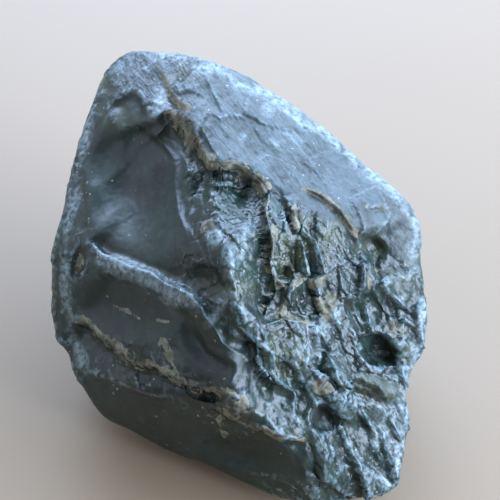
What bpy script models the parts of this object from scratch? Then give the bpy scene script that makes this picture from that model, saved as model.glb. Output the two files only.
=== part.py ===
"""Rough green jasper: one solid lump of stone that rests on a small flat of its underside.

Sizes are in millimetres and degrees, X to the right, Y away from the front and Z up. The lump
is a block of broken flats about its heart. Ledges, conchoidal scars and splinters are struck
out of the front, and flakes out of the back and the underside. Lines and places on the front
are given as (right, up) from the middle of the front, seen from 50 degrees above level.
"""

import math
from typing import NamedTuple

import bmesh
import bpy
import numpy as np

# Driving dimensions of the block; a riser is drawn wider here than it is on the real stone,
# so that the squares of the skin can follow it
MM = 0.001
RISER_STRETCH = 1.6
HEART = np.array([0.0, -2.0, 24.0])
EDGE_ROUND = 0.8
NARROWEST = 14.0
WIDEST = 56.0

# Fineness of the skin: squares along one side of the cube that is blown up to the lump
GRID = 29
HALVINGS = 14
SETTLE_ROUNDS = 9
ROUNDS_TO_FULL_DEPTH = 5
CLOSING_ROUNDS = 3
PROBE = 0.05

# How the front is seen: the point looked at, the distance and the height angle
AIM = np.array([0.0, 0.0, 26.0])
DISTANCE = 170.0
HEIGHT_ANGLE = math.radians(50.0)
RIGHT = np.array([1.0, 0.0, 0.0])
UP = np.array([0.0, math.sin(HEIGHT_ANGLE), math.cos(HEIGHT_ANGLE)])
AHEAD = np.array([0.0, math.cos(HEIGHT_ANGLE), -math.sin(HEIGHT_ANGLE)])
EYE = AIM - AHEAD * DISTANCE

# Depth, towards the eye, at which the work on the front begins and is in full
FRONT_FROM = -12.0
FRONT_FULL = -5.0

# Random numbers are whole numbers kept to 31 bits
LOW_BITS = 0x7FFFFFFF


class Flat(NamedTuple):
    """A broken flat of the block: which way it faces and how far it is from the heart."""

    azimuth: float
    elevation: float
    reach: float


class Ledge(NamedTuple):
    """A step along a line on the front; the ground drops on the right of the way it is drawn."""

    line: tuple
    drop: float
    riser: float
    run: float


class Scar(NamedTuple):
    """A shallow oval hollow on the front."""

    centre: tuple
    radii: tuple
    turn: float
    depth: float
    power: float


class Flake(NamedTuple):
    """A round flake struck off the block: the way it faces, its depth and its ball's radius."""

    azimuth: float
    elevation: float
    depth: float
    radius: float


FLATS = {
    "plateau": Flat(-1, 69.5, 18.6),
    "knob": Flat(180, 70, 23.8),
    "scoop": Flat(-155, 52, 20.0),
    "brow": Flat(-138, 35, 20.6),
    "face": Flat(-47, 40, 17.8),
    "foot": Flat(-114, 1, 26.9),
    "toe": Flat(-75, 15, 29.8),
    "left_upper": Flat(161, -12, 30.6),
    "left_lower": Flat(-173, -36, 32.2),
    "bottom_left": Flat(-130, -69, 28.0),
    "bottom": Flat(-87, -56, 35.4),
    "right": Flat(12, -8, 27.2),
    "right_lower": Flat(-3, -15, 29.7),
    "right_under": Flat(-7, -30, 33.6),
    "back_right": Flat(49, 2.5, 21.6),
    "back": Flat(66, 20, 27.9),
    "back_under": Flat(95, -22, 30.0),
    "back_corner": Flat(135, -5, 38.6),
    "top_left": Flat(115, 36, 43.0),
}

# The underside is a low dome of flats, cut off level where the lump rests
DOME_ELEVATION = -79.0
DOME = {15: 26.3, 75: 26.6, 140: 26.0, 200: 26.4, 265: 26.7, 320: 26.1}
FLATS.update({f"dome_{azimuth}": Flat(azimuth, DOME_ELEVATION, reach) for azimuth, reach in DOME.items()})

LEDGES = {
    "plateau_edge": Ledge(
        ((-12.5, 24.5), (-11.6, 22.8), (-9.9, 21.1), (-8.3, 17.8), (-6.1, 15.2), (-3, 14.5), (-0.3, 12.9), (4, 10)),
        3.0,
        2.4,
        5,
    ),
    "top_band": Ledge(((-14.4, 31), (-13.9, 28.9), (-12.9, 26.7), (-10.9, 24.8), (-8.9, 22.8)), 0.9, 1.1, 3),
    "plateau_crack": Ledge(((8.2, 10.9), (12, 9), (14.5, 7.2), (16.5, 4.6), (18.5, 2.6)), 0.9, 0.9, 3),
    "scoop_top": Ledge(((-24.7, 22.3), (-22.8, 25), (-19.8, 26.4), (-17.7, 25.1), (-14.5, 22.3)), 1.4, 1.2, 6),
    "scoop_side": Ledge(((-10.5, 1.5), (-11.8, 6), (-12.2, 10.5), (-13, 14.5), (-16, 19)), 0.8, 1.0, 3),
    "lip_lit": Ledge(
        ((0, -18.5), (-5, -15.2), (-8.3, -10.2), (-12, -6.5), (-15.5, -3.8), (-20, -2.8), (-24, -1.3), (-27, 1.6)),
        1.5,
        1.4,
        5,
    ),
    "lip_foot": Ledge(
        ((-25, -2.8), (-21, -4.6), (-16, -6), (-13, -7.5), (-9.6, -11.2), (-6.4, -16), (-1, -19.6)),
        1.3,
        1.2,
        6,
    ),
    "brow_vein": Ledge(
        ((-28.4, -10.7), (-24.8, -14), (-22.3, -15.7), (-20.6, -18), (-14, -19.8), (-7.5, -22.3), (-3, -23.2)),
        2.2,
        1.3,
        4,
    ),
    "band_foot": Ledge(((-28.9, -19), (-24.8, -20.6), (-21.5, -21.8), (-16.5, -24), (-12, -25)), 0.8, 0.8, 5),
    "foot_brow": Ledge(((-6, -25.5), (-2.5, -27.5), (2, -29.2), (5, -30.7), (10, -31)), 1.7, 1.0, 5),
    "toe_top": Ledge(((11, -24.8), (14.5, -26.8), (18, -27.9), (21, -27.6)), 1.5, 0.9, 5),
    "face_rift": Ledge(((3.6, 10), (3.2, 6), (3.9, 1), (3.2, -2.5), (3.8, -7), (2.8, -11.3)), 2.4, 0.9, 3),
    "block_top": Ledge(((12, -13), (9, -12), (6, -11.4), (1.5, -12.5)), 1.6, 0.8, 3),
    "block_foot": Ledge(((2, -14.5), (1.2, -18.5), (3.5, -22), (8, -23.8)), 2.0, 0.9, 4),
    "mid_step": Ledge(((13, -12), (11.4, -8), (12, -3.5)), 1.3, 0.7, 3),
    "right_step": Ledge(((24.5, -19.5), (19, -19), (17, -13), (15, -8)), 1.8, 1.0, 5),
    "pocket_side": Ledge(((21, -6.5), (20, -2), (18.5, 0), (17, 3.4)), 2.2, 1.2, 4),
}

# A chip that stands out of the front has a depth below 0
SCARS = {
    "scoop_bowl": Scar((-18, 10.5), (9, 13), 8, 3.2, 1.6),
    "brow_bowl": Scar((-21, -10), (8.5, 5), -18, 1.2, 1.4),
    "lip_hollow": Scar((-6.5, -5.5), (5, 3), -20, 1.6, 1.3),
    "brow_facet": Scar((-6.5, -15.5), (6, 3.6), -35, 0.8, 1.3),
    "under_plateau": Scar((-1, 7), (6, 3.4), -25, 1.0, 1.4),
    "under_ridge": Scar((-9, 15), (5, 2), -50, 1.2, 1.2),
    "vein_cave": Scar((-7.4, -23.8), (3.4, 1.8), -8, 1.5, 1.0),
    "foot_bowl": Scar((-1, -33), (10, 3), -20, 1.0, 1.3),
    "dark_pocket": Scar((21.5, -16.8), (4.2, 3.0), -25, 2.0, 1.5),
    "upper_pocket": Scar((19.3, 0.4), (4.6, 2.8), -35, 1.7, 1.6),
    "slab_chip": Scar((24.5, -13.6), (2.6, 3.0), -20, -0.8, 0.6),
    "olive_bar": Scar((20.8, -22.8), (4.4, 1.9), -28, -0.9, 0.7),
    "mid_block": Scar((8.2, -16.5), (3.6, 4.4), -30, -0.7, 1.0),
    "strand_band": Scar((-1.6, -6.5), (11, 2.8), -66, -1.1, 1.0),
}

FLAKES = {
    "back_middle": Flake(95, -12, 2.6, 30),
    "back_foot": Flake(60, -30, 2.2, 18),
    "back_left": Flake(125, -25, 2.6, 22),
    "left_foot": Flake(155, -38, 2.0, 18),
    "right_foot": Flake(25, -30, 1.8, 16),
    "back_top": Flake(72, 4, 1.6, 15),
    "right_underside": Flake(-10, -38, 2.0, 15),
    "left_underside": Flake(178, -60, 1.6, 18),
    "back_right_side": Flake(40, -8, 1.4, 16),
    "right_notch": Flake(-27, -17, 1.5, 10),
}

# Unevenness of the whole lump, and the wandering of the drawn lines: height and length
SWELL = (0.7, 16.0)
WANDER = (0.9, 7.0)

# How far a ledge's line comes up out of the ground at either end
LEDGE_END = 3.0

# Splinters lie across the broken front face where it looks at the eye: length, width and depth
# of one, height and slant, and how squarely the skin looks at the eye where they begin
SPLINTER = np.array([8.0, 3.0, 9.0])
SPLINTER_SLANT = math.radians(-52.0)
SPLINTER_HEIGHT = 0.8
SPLINTERS_FROM = 0.3
SPLINTERS_FULL = 0.65
SPLINTER_BEND = (0.5, 6.0)

# Shards are the broken planes that cover the whole skin
SHARD_LENGTH = 7.5
SHARD_HEIGHT = 0.3
SHARD_HEIGHT_ON_FACE = 0.3
SHARD_BEND = (0.3, 5.0)
GRAIN = (0.15, 3.0)

# The relief is in full this high above the flat that the lump rests on
REST_FADE = 1.5

COLOUR = (0.034, 0.048, 0.043, 1.0)
ROUGHNESS = 0.38
SHARP_FROM = math.radians(35.0)


def facing(azimuth, elevation):
    """Unit vector of a direction given by its angles in degrees."""
    turn, rise = math.radians(azimuth), math.radians(elevation)
    level = math.cos(rise)
    return np.array([level * math.cos(turn), level * math.sin(turn), math.sin(rise)])


def blend_max(a, b, width):
    """The larger of two fields, rounded where they meet."""
    near = np.maximum(width - np.abs(a - b), 0.0) / width
    return np.maximum(a, b) + near * near * width * 0.25


def ramp(low, high, x):
    """Smooth rise from 0 at low to 1 at high."""
    t = np.clip((x - low) / (high - low), 0.0, 1.0)
    return t * t * (3.0 - 2.0 * t)


def scramble(h):
    """Turns whole numbers into other ones that look random."""
    h = (h ^ (h >> 13)) & LOW_BITS
    h = (h * 1274126177) & LOW_BITS
    h = h ^ (h >> 16)
    return (h * 668265263) & LOW_BITS


def cell_number(cells, salt):
    """A random whole number for each cell of a grid of cubes."""
    c = cells.astype(np.int64)
    return scramble(c[:, 0] * 73856093 ^ c[:, 1] * 19349663 ^ c[:, 2] * 83492791 ^ salt * 2654435761)


def noise(points, salt):
    """Smooth noise from -1 to 1, one swell to a unit."""
    low = np.floor(points)
    t = points - low
    t = t * t * t * (t * (t * 6.0 - 15.0) + 10.0)
    total = np.zeros(len(points))
    for corner in np.ndindex(2, 2, 2):
        share = np.prod(np.where(np.array(corner) == 1, t, 1.0 - t), axis=1)
        total += share * cell_number(low + corner, salt)
    return total / LOW_BITS * 2.0 - 1.0


def rough(points, octaves, salt):
    """Noise with finer and lower noise on it."""
    total = np.zeros(len(points))
    for octave in range(octaves):
        total += noise(points * 2**octave + 17.3 * octave, salt + octave) / 2**octave
    return total / (2.0 - 2.0 ** (1 - octaves))


def broken_planes(points, salt):
    """Height of a skin of broken planes, each with a tilt and a level of its own."""
    low = np.floor(points)
    nearest = np.full(len(points), np.inf)
    height = np.zeros(len(points))
    for step in np.ndindex(3, 3, 3):
        cell = low + step - 1
        h = cell_number(cell, salt)
        numbers = []
        for _ in range(7):
            h = scramble(h + 12345)
            numbers.append(h / LOW_BITS)
        offset = points - cell - np.stack(numbers[:3], axis=1)
        tilt = np.stack(numbers[3:6], axis=1) * 2.0 - 1.0
        distance = (offset * offset).sum(axis=1)
        near = distance < nearest
        height = np.where(near, (offset * tilt).sum(axis=1) + numbers[6] - 0.5, height)
        nearest = np.where(near, distance, nearest)
    return height


def seen_on_front(points):
    """Place of each point on the front as (right, up), and its depth towards the eye."""
    from_eye = points - EYE
    ahead = from_eye @ AHEAD
    places = np.stack([from_eye @ RIGHT, from_eye @ UP], axis=1) * (DISTANCE / ahead)[:, None]
    return places, DISTANCE - ahead


def beside_line(places, line):
    """How far each place is to the right of a line, how far along it is, and the line's length."""
    nearest = np.full(len(places), np.inf)
    side = np.zeros(len(places))
    along = np.zeros(len(places))
    length = 0.0
    for start, end in zip(line[:-1], line[1:]):
        way = end - start
        stretch = math.hypot(*way)
        share = np.clip((places - start) @ way / stretch**2, 0.0, 1.0)
        off = places - start - share[:, None] * way
        distance = np.hypot(off[:, 0], off[:, 1])
        across = ((places[:, 0] - start[0]) * way[1] - (places[:, 1] - start[1]) * way[0]) / stretch
        near = distance - 1e-4 * np.abs(across) < nearest
        nearest = np.where(near, distance - 1e-4 * np.abs(across), nearest)
        side = np.where(near, np.sign(across) * distance, side)
        along = np.where(near, length + share * stretch, along)
        length += stretch
    return side, along, length


def ledge_depth(places, ledge):
    """Depth that a ledge takes off: a riser along its line, then ground that comes back slowly."""
    line = np.array(ledge.line)
    riser = ledge.riser * RISER_STRETCH
    reach = riser + 4.0 * ledge.run
    depth = np.zeros(len(places))
    close = np.all((places > line.min(axis=0) - reach) & (places < line.max(axis=0) + reach), axis=1)
    if not close.any():
        return depth
    side, along, length = beside_line(places[close], line)
    fade = min(LEDGE_END, length / 2.0)
    ends = ramp(0.0, fade, along) * ramp(0.0, fade, length - along)
    ground = np.exp(-np.maximum(side - riser, 0.0) / ledge.run) * (1.0 - ramp(reach * 0.6, reach, side))
    depth[close] = ledge.drop * ends * ramp(0.0, riser, side) * ground
    return depth


def scar_depth(places, scar):
    """Depth that an oval hollow takes off."""
    off = places - np.array(scar.centre)
    c, s = math.cos(math.radians(scar.turn)), math.sin(math.radians(scar.turn))
    x = (off[:, 0] * c + off[:, 1] * s) / scar.radii[0]
    y = (off[:, 1] * c - off[:, 0] * s) / scar.radii[1]
    return scar.depth * np.maximum(1.0 - x * x - y * y, 0.0) ** scar.power


def block(points):
    """The block of flats: below 0 inside it, in mm near its skin."""
    from_heart = points - HEART
    field = np.full(len(points), -np.inf)
    for flat in FLATS.values():
        beyond = from_heart @ facing(flat.azimuth, flat.elevation) - flat.reach
        field = beyond if np.isinf(field).all() else blend_max(field, beyond, 2.0 * EDGE_ROUND)
    return field


def flake_balls():
    """Centre and radius of the ball that each flake's hollow is part of."""
    balls = []
    for flake in FLAKES.values():
        way = facing(flake.azimuth, flake.elevation)
        steps = np.linspace(NARROWEST, WIDEST, 800)
        skin = steps[np.argmax(block(HEART + steps[:, None] * way) > 0.0)]
        balls.append((HEART + way * (skin - flake.depth + flake.radius), flake.radius))
    return balls


def struck_off(points, field, balls):
    """The block without the flakes."""
    for centre, radius in balls:
        inside_ball = radius - np.linalg.norm(points - centre, axis=1)
        field = blend_max(field, inside_ball, EDGE_ROUND)
    return field


def worked_off(points):
    """Depth that the ledges and scars take off the front."""
    places, depth_to_eye = seen_on_front(points)
    height, length = WANDER
    wander = np.stack([rough(points / length, 2, 21), rough(points / length, 2, 22)], axis=1)
    places = places + height * wander
    total = np.zeros(len(points))
    for ledge in LEDGES.values():
        total += ledge_depth(places, ledge)
    for scar in SCARS.values():
        total += scar_depth(places, scar)
    return total * ramp(FRONT_FROM, FRONT_FULL, depth_to_eye)


def lump(points, balls, share=1.0):
    """The whole stone without its fine relief, with a share of the depth of its front's work."""
    height, length = SWELL
    field = struck_off(points, block(points), balls) + share * worked_off(points)
    field += height * rough(points / length, 2, 5)
    return np.maximum(field, -points[:, 2])


def broken_face(points, normals):
    """1 on the splintered part of the front, 0 elsewhere."""
    places, depth_to_eye = seen_on_front(points)
    right, up = places[:, 0], places[:, 1]
    right_of_rift = ramp(-9.0, -2.0, right + 0.35 * up)
    below_plateau = 1.0 - ramp(9.5, 14.0, up + 0.55 * right)
    squarely = ramp(SPLINTERS_FROM, SPLINTERS_FULL, -normals @ AHEAD)
    return right_of_rift * below_plateau * squarely * ramp(FRONT_FROM, FRONT_FULL, depth_to_eye)


def relief(points, normals):
    """Height of the broken skin: splinters on the front face, shards and grain all over."""
    places, depth_to_eye = seen_on_front(points)
    c, s = math.cos(SPLINTER_SLANT), math.sin(SPLINTER_SLANT)
    along = places[:, 0] * c + places[:, 1] * s
    across = places[:, 1] * c - places[:, 0] * s
    height, length = SPLINTER_BEND
    bend = height * rough(points / length, 1, 3)[:, None]
    splinters = broken_planes(np.stack([along, across, depth_to_eye], axis=1) / SPLINTER + bend, 3)
    height, length = SHARD_BEND
    bend = height * rough(points / length, 1, 8)[:, None]
    shards = broken_planes(points / SHARD_LENGTH + bend, 11)
    on_face = broken_face(points, normals)
    grain_height, grain_length = GRAIN
    height = SPLINTER_HEIGHT * on_face * splinters
    height += (SHARD_HEIGHT + SHARD_HEIGHT_ON_FACE * on_face) * shards
    return height + grain_height * rough(points / grain_length, 2, 9)


def slope(field, points):
    """Gradient of a field at each point, and the field there."""
    here = field(points)
    steps = [field(points + PROBE * axis) - here for axis in np.eye(3)]
    return np.stack(steps, axis=1) / PROBE, here


def to_skin(field, points):
    """Moves points along the slope to where the field is 0, at most 1 mm."""
    gradient, here = slope(field, points)
    steepness = np.maximum((gradient * gradient).sum(axis=1), 0.2)
    return points - np.clip(here / steepness, -1.0, 1.0)[:, None] * gradient


def cast_to_skin(field, directions):
    """Finds the skin along each ray from the heart by halving."""
    near = np.full(len(directions), NARROWEST)
    far = np.full(len(directions), WIDEST)
    for _ in range(HALVINGS):
        middle = (near + far) / 2.0
        inside = field(HEART + directions * middle[:, None]) < 0.0
        near = np.where(inside, middle, near)
        far = np.where(inside, far, middle)
    return HEART + directions * ((near + far) / 2.0)[:, None]


def between_neighbours(values, edges):
    """Moves each corner's value half way to the mean of its neighbours' values."""
    total = np.zeros_like(values)
    np.add.at(total, edges[:, 0], values[edges[:, 1]])
    np.add.at(total, edges[:, 1], values[edges[:, 0]])
    count = np.bincount(edges.ravel(), minlength=len(values))[:, None]
    return (values + total / count) / 2.0


def settle(points, edges, balls):
    """Lets the points sink into the front's work and spreads them evenly over the skin."""
    for count in range(SETTLE_ROUNDS):
        share = min(1.0, (count + 1) / ROUNDS_TO_FULL_DEPTH)
        points = to_skin(lambda p, s=share: lump(p, balls, s), between_neighbours(points, edges))
    for _ in range(CLOSING_ROUNDS):
        points = to_skin(lambda p: lump(p, balls), points)
    return points


def gridded_cube(name):
    """A cube of half side 1 with GRID squares along each side."""
    shape = bmesh.new()
    bmesh.ops.create_cube(shape, size=2.0)
    bmesh.ops.subdivide_edges(shape, edges=shape.edges[:], cuts=GRID - 1, use_grid_fill=True)
    mesh = bpy.data.meshes.new(name)
    shape.to_mesh(mesh)
    shape.free()
    return mesh


def shape_stone(mesh):
    """Moves the corners of the gridded cube out to the skin of the stone."""
    corners = np.empty(len(mesh.vertices) * 3)
    mesh.vertices.foreach_get("co", corners)
    edges = np.empty(len(mesh.edges) * 2, dtype=np.int32)
    mesh.edges.foreach_get("vertices", edges)
    edges = edges.reshape(-1, 2)
    spread = np.tan(corners.reshape(-1, 3) * math.pi / 4.0)
    directions = spread / np.linalg.norm(spread, axis=1)[:, None]

    balls = flake_balls()
    points = cast_to_skin(lambda p: lump(p, balls, 0.0), directions)
    points = settle(points, edges, balls)
    gradient, _ = slope(lambda p: lump(p, balls), points)
    normals = gradient / np.linalg.norm(gradient, axis=1)[:, None]
    above_rest = ramp(0.0, REST_FADE, points[:, 2])[:, None]
    points = points + normals * above_rest * relief(points, normals)[:, None]
    points = between_neighbours(points, edges)
    points[:, 2] = np.where(points[:, 2] < PROBE, 0.0, points[:, 2])
    mesh.vertices.foreach_set("co", (points * MM).ravel())
    mesh.update()


def jasper_material():
    """Dark green jasper with a waxy gloss."""
    material = bpy.data.materials.new("green_jasper")
    material.use_nodes = True
    shader = material.node_tree.nodes["Principled BSDF"]
    shader.inputs["Base Color"].default_value = COLOUR
    shader.inputs["Roughness"].default_value = ROUGHNESS
    shader.inputs["Metallic"].default_value = 0.0
    return material


def build():
    """Makes the stone in an empty scene."""
    for old in list(bpy.data.objects):
        bpy.data.objects.remove(old, do_unlink=True)
    mesh = gridded_cube("jasper_stone")
    shape_stone(mesh)
    mesh.shade_smooth()
    mesh.set_sharp_from_angle(angle=SHARP_FROM)
    mesh.materials.append(jasper_material())
    stone = bpy.data.objects.new("jasper_stone", mesh)
    bpy.context.scene.collection.objects.link(stone)


build()
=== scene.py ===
"""Dresses the rough green jasper: one broken lump with glassy scars, splinters and rusty rinds.

The stone's form is a field in millimetres: a block of broken flats about its heart, with
ledges and hollows worked out of the front and flakes out of the back. A fine skin is drawn
over that field, Geometry Nodes break it into splinters and shards, and one jasper finish reads
the zones that are stored on the skin.
"""

import logging
import math
from dataclasses import dataclass, field
from enum import Enum
from functools import partial

import bmesh
import bpy
import numpy as np
from mathutils import Matrix, Vector


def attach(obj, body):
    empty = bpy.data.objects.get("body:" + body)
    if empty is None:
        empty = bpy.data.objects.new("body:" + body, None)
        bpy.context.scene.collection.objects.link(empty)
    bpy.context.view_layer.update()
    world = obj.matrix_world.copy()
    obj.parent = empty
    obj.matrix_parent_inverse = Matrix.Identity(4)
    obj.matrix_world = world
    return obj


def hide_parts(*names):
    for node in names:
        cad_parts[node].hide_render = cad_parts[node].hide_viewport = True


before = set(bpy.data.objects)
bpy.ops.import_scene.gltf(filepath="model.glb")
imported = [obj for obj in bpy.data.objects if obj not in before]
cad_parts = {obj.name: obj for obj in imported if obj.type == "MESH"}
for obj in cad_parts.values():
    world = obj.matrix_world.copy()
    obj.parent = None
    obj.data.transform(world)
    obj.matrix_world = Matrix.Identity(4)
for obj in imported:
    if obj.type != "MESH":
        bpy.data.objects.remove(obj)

log = logging.getLogger("green_jasper")

MM = 0.001
LOW_BITS = 0x7FFFFFFF
HALF = (0.5, 0.5, 0.5)
Place = tuple[float, float]
Size = tuple[float, float, float]
Balls = list[tuple[np.ndarray, float]]
Paint = bpy.types.NodeSocket | tuple[float, float, float, float]
Factor = bpy.types.NodeSocket | float | tuple[bpy.types.NodeSocket, float, float]


class Surface(Enum):
    """The kinds of surface that the finish tells apart, each an attribute of the skin."""

    SPLINTERED = "splintered"
    PLATEAU = "plateau"
    GLASSY = "glassy"
    RIND = "rind"
    SPECKLED = "speckled"
    # Real pale bruises and chips, and painted highlights on the knob, the lip and the outer rims.
    BRUISED_AND_LIT = "bruised"
    OLIVE = "olive"


def linear(colour: str) -> tuple[float, float, float, float]:
    """Turns an sRGB hex colour into linear light.

    Args:
        colour: The colour as "#rrggbb".

    Returns:
        Red, green, blue and an alpha of 1, each from 0 to 1.
    """
    channels = [int(colour[i : i + 2], 16) / 255.0 for i in (1, 3, 5)]
    lit = [c / 12.92 if c <= 0.04045 else ((c + 0.055) / 1.055) ** 2.4 for c in channels]
    return (lit[0], lit[1], lit[2], 1.0)


def add_node(
    tree: bpy.types.NodeTree, kind: str, inputs: dict | None = None, **settings: object
) -> bpy.types.Node:
    """Adds a node with its settings, and fills or links its inputs.

    Args:
        tree: The node tree that gets the node.
        kind: The node's type name.
        inputs: A value or an output socket for each input, by name or number.
        **settings: Properties of the node.

    Returns:
        The new node.
    """
    node = tree.nodes.new(kind)
    for name, value in settings.items():
        setattr(node, name, value)
    for name, value in (inputs or {}).items():
        if isinstance(value, bpy.types.NodeSocket):
            tree.links.new(value, node.inputs[name])
        else:
            node.inputs[name].default_value = value
    return node


def facing(azimuth: float, elevation: float) -> np.ndarray:
    """Gives the unit vector of a direction.

    Args:
        azimuth: Degrees from X towards Y.
        elevation: Degrees above level.

    Returns:
        The direction.
    """
    turn, rise = math.radians(azimuth), math.radians(elevation)
    level = math.cos(rise)
    return np.array([level * math.cos(turn), level * math.sin(turn), math.sin(rise)])


def blend_max(a: np.ndarray, b: np.ndarray, width: float) -> np.ndarray:
    """Takes the larger of two fields, rounded where they meet.

    Args:
        a: One field.
        b: The other field.
        width: How far apart they still blend, in mm.

    Returns:
        The blended field.
    """
    near = np.maximum(width - np.abs(a - b), 0.0) / width
    return np.maximum(a, b) + near * near * width * 0.25


def ramp(low: float, high: float, x: np.ndarray) -> np.ndarray:
    """Rises smoothly from 0 at low to 1 at high.

    Args:
        low: Where the rise starts.
        high: Where it ends.
        x: The values to place on it.

    Returns:
        The height of the ramp at each value.
    """
    t = np.clip((x - low) / (high - low), 0.0, 1.0)
    return t * t * (3.0 - 2.0 * t)


def scramble(h: np.ndarray) -> np.ndarray:
    """Turns whole numbers into others that look random.

    Args:
        h: Whole numbers.

    Returns:
        Numbers of 31 bits.
    """
    h = (h ^ (h >> 13)) & LOW_BITS
    h = (h * 1274126177) & LOW_BITS
    h = h ^ (h >> 16)
    return (h * 668265263) & LOW_BITS


def cell_number(cells: np.ndarray, salt: int) -> np.ndarray:
    """Gives a random whole number for each cell of a grid of cubes.

    Args:
        cells: The cells' corners.
        salt: Sets one noise apart from another.

    Returns:
        One number for each cell.
    """
    c = cells.astype(np.int64)
    return scramble(c[:, 0] * 73856093 ^ c[:, 1] * 19349663 ^ c[:, 2] * 83492791 ^ salt * 2654435761)


def noise(points: np.ndarray, salt: int) -> np.ndarray:
    """Gives smooth noise, one swell to a unit.

    Args:
        points: Places in units.
        salt: Sets one noise apart from another.

    Returns:
        Values from -1 to 1.
    """
    low = np.floor(points)
    t = points - low
    t = t * t * t * (t * (t * 6.0 - 15.0) + 10.0)
    total = np.zeros(len(points))
    for corner in np.ndindex(2, 2, 2):
        share = np.prod(np.where(np.array(corner) == 1, t, 1.0 - t), axis=1)
        total += share * cell_number(low + corner, salt)
    return total / LOW_BITS * 2.0 - 1.0


def rough(points: np.ndarray, octaves: int, salt: int) -> np.ndarray:
    """Gives noise with finer and lower noise on it.

    Args:
        points: Places in units.
        octaves: How many noises are summed.
        salt: Sets one noise apart from another.

    Returns:
        Values from about -1 to 1.
    """
    total = np.zeros(len(points))
    for octave in range(octaves):
        total += noise(points * 2**octave + 17.3 * octave, salt + octave) / 2**octave
    return total / (2.0 - 2.0 ** (1 - octaves))


def beside_line(places: np.ndarray, line: np.ndarray) -> tuple[np.ndarray, np.ndarray, float]:
    """Measures places against a line of straight stretches.

    Args:
        places: Places on the front, in mm.
        line: The line's corners.

    Returns:
        How far each place is to the right of the line, how far along it is, and its length.
    """
    nearest = np.full(len(places), np.inf)
    side = np.zeros(len(places))
    along = np.zeros(len(places))
    length = 0.0
    for start, end in zip(line[:-1], line[1:]):
        way = end - start
        stretch = math.hypot(*way)
        share = np.clip((places - start) @ way / stretch**2, 0.0, 1.0)
        off = places - start - share[:, None] * way
        distance = np.hypot(off[:, 0], off[:, 1])
        across = ((places[:, 0] - start[0]) * way[1] - (places[:, 1] - start[1]) * way[0]) / stretch
        near = distance - 1e-4 * np.abs(across) < nearest
        nearest = np.where(near, distance - 1e-4 * np.abs(across), nearest)
        side = np.where(near, np.sign(across) * distance, side)
        along = np.where(near, length + share * stretch, along)
        length += stretch
    return side, along, length


@dataclass(frozen=True)
class FrontView:
    """How the front of the stone is seen; places on it are (right, up) in mm of its middle."""

    aim: Size = (0.0, 0.0, 26.0)
    distance: float = 170.0
    height_angle: float = 50.0
    half_width: float = 41.25
    film: float = 36.0
    work_from: float = -12.0
    work_full: float = -5.0

    def axes(self) -> np.ndarray:
        """Gives the unit vectors to the right, up and ahead, as rows."""
        s, c = math.sin(math.radians(self.height_angle)), math.cos(math.radians(self.height_angle))
        return np.array([[1.0, 0.0, 0.0], [0.0, s, c], [0.0, c, -s]])

    def eye(self) -> np.ndarray:
        """Gives the place that the front is seen from, in mm."""
        return np.array(self.aim) - self.axes()[2] * self.distance

    def places(self, points: np.ndarray) -> tuple[np.ndarray, np.ndarray]:
        """Finds where points show on the front.

        Args:
            points: Points in mm.

        Returns:
            Their (right, up) places, and their depth towards the eye from the aim.
        """
        seen = (points - self.eye()) @ self.axes().T
        places = seen[:, :2] * (self.distance / seen[:, 2])[:, None]
        return places, self.distance - seen[:, 2]

    def on_front(self, depth: np.ndarray) -> np.ndarray:
        """Gives 1 on the front and 0 behind it, from the depth towards the eye."""
        return ramp(self.work_from, self.work_full, depth)

    def camera(self) -> bpy.types.Object:
        """Makes the camera that sees the front as it is laid out here.

        Returns:
            The camera, which is made the scene's own.
        """
        data = bpy.data.cameras.new("front_camera")
        data.sensor_width = self.film
        data.lens = self.film / 2.0 * self.distance / self.half_width
        data.clip_start = 0.01
        data.dof.use_dof = False
        camera = bpy.data.objects.new("front_camera", data)
        right, up, ahead = self.axes()
        turn = Matrix((right, up, -ahead)).transposed().to_4x4()
        camera.matrix_world = Matrix.Translation(Vector(self.eye() * MM)) @ turn
        bpy.context.scene.collection.objects.link(camera)
        bpy.context.scene.camera = camera
        return camera


@dataclass(frozen=True)
class Flat:
    """A broken flat of the block: which way it faces and how far it is from the heart."""

    azimuth: float
    elevation: float
    reach: float

    def beyond(self, from_heart: np.ndarray) -> np.ndarray:
        """Gives how far points, measured from the heart, are beyond the flat, in mm."""
        return from_heart @ facing(self.azimuth, self.elevation) - self.reach


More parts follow.
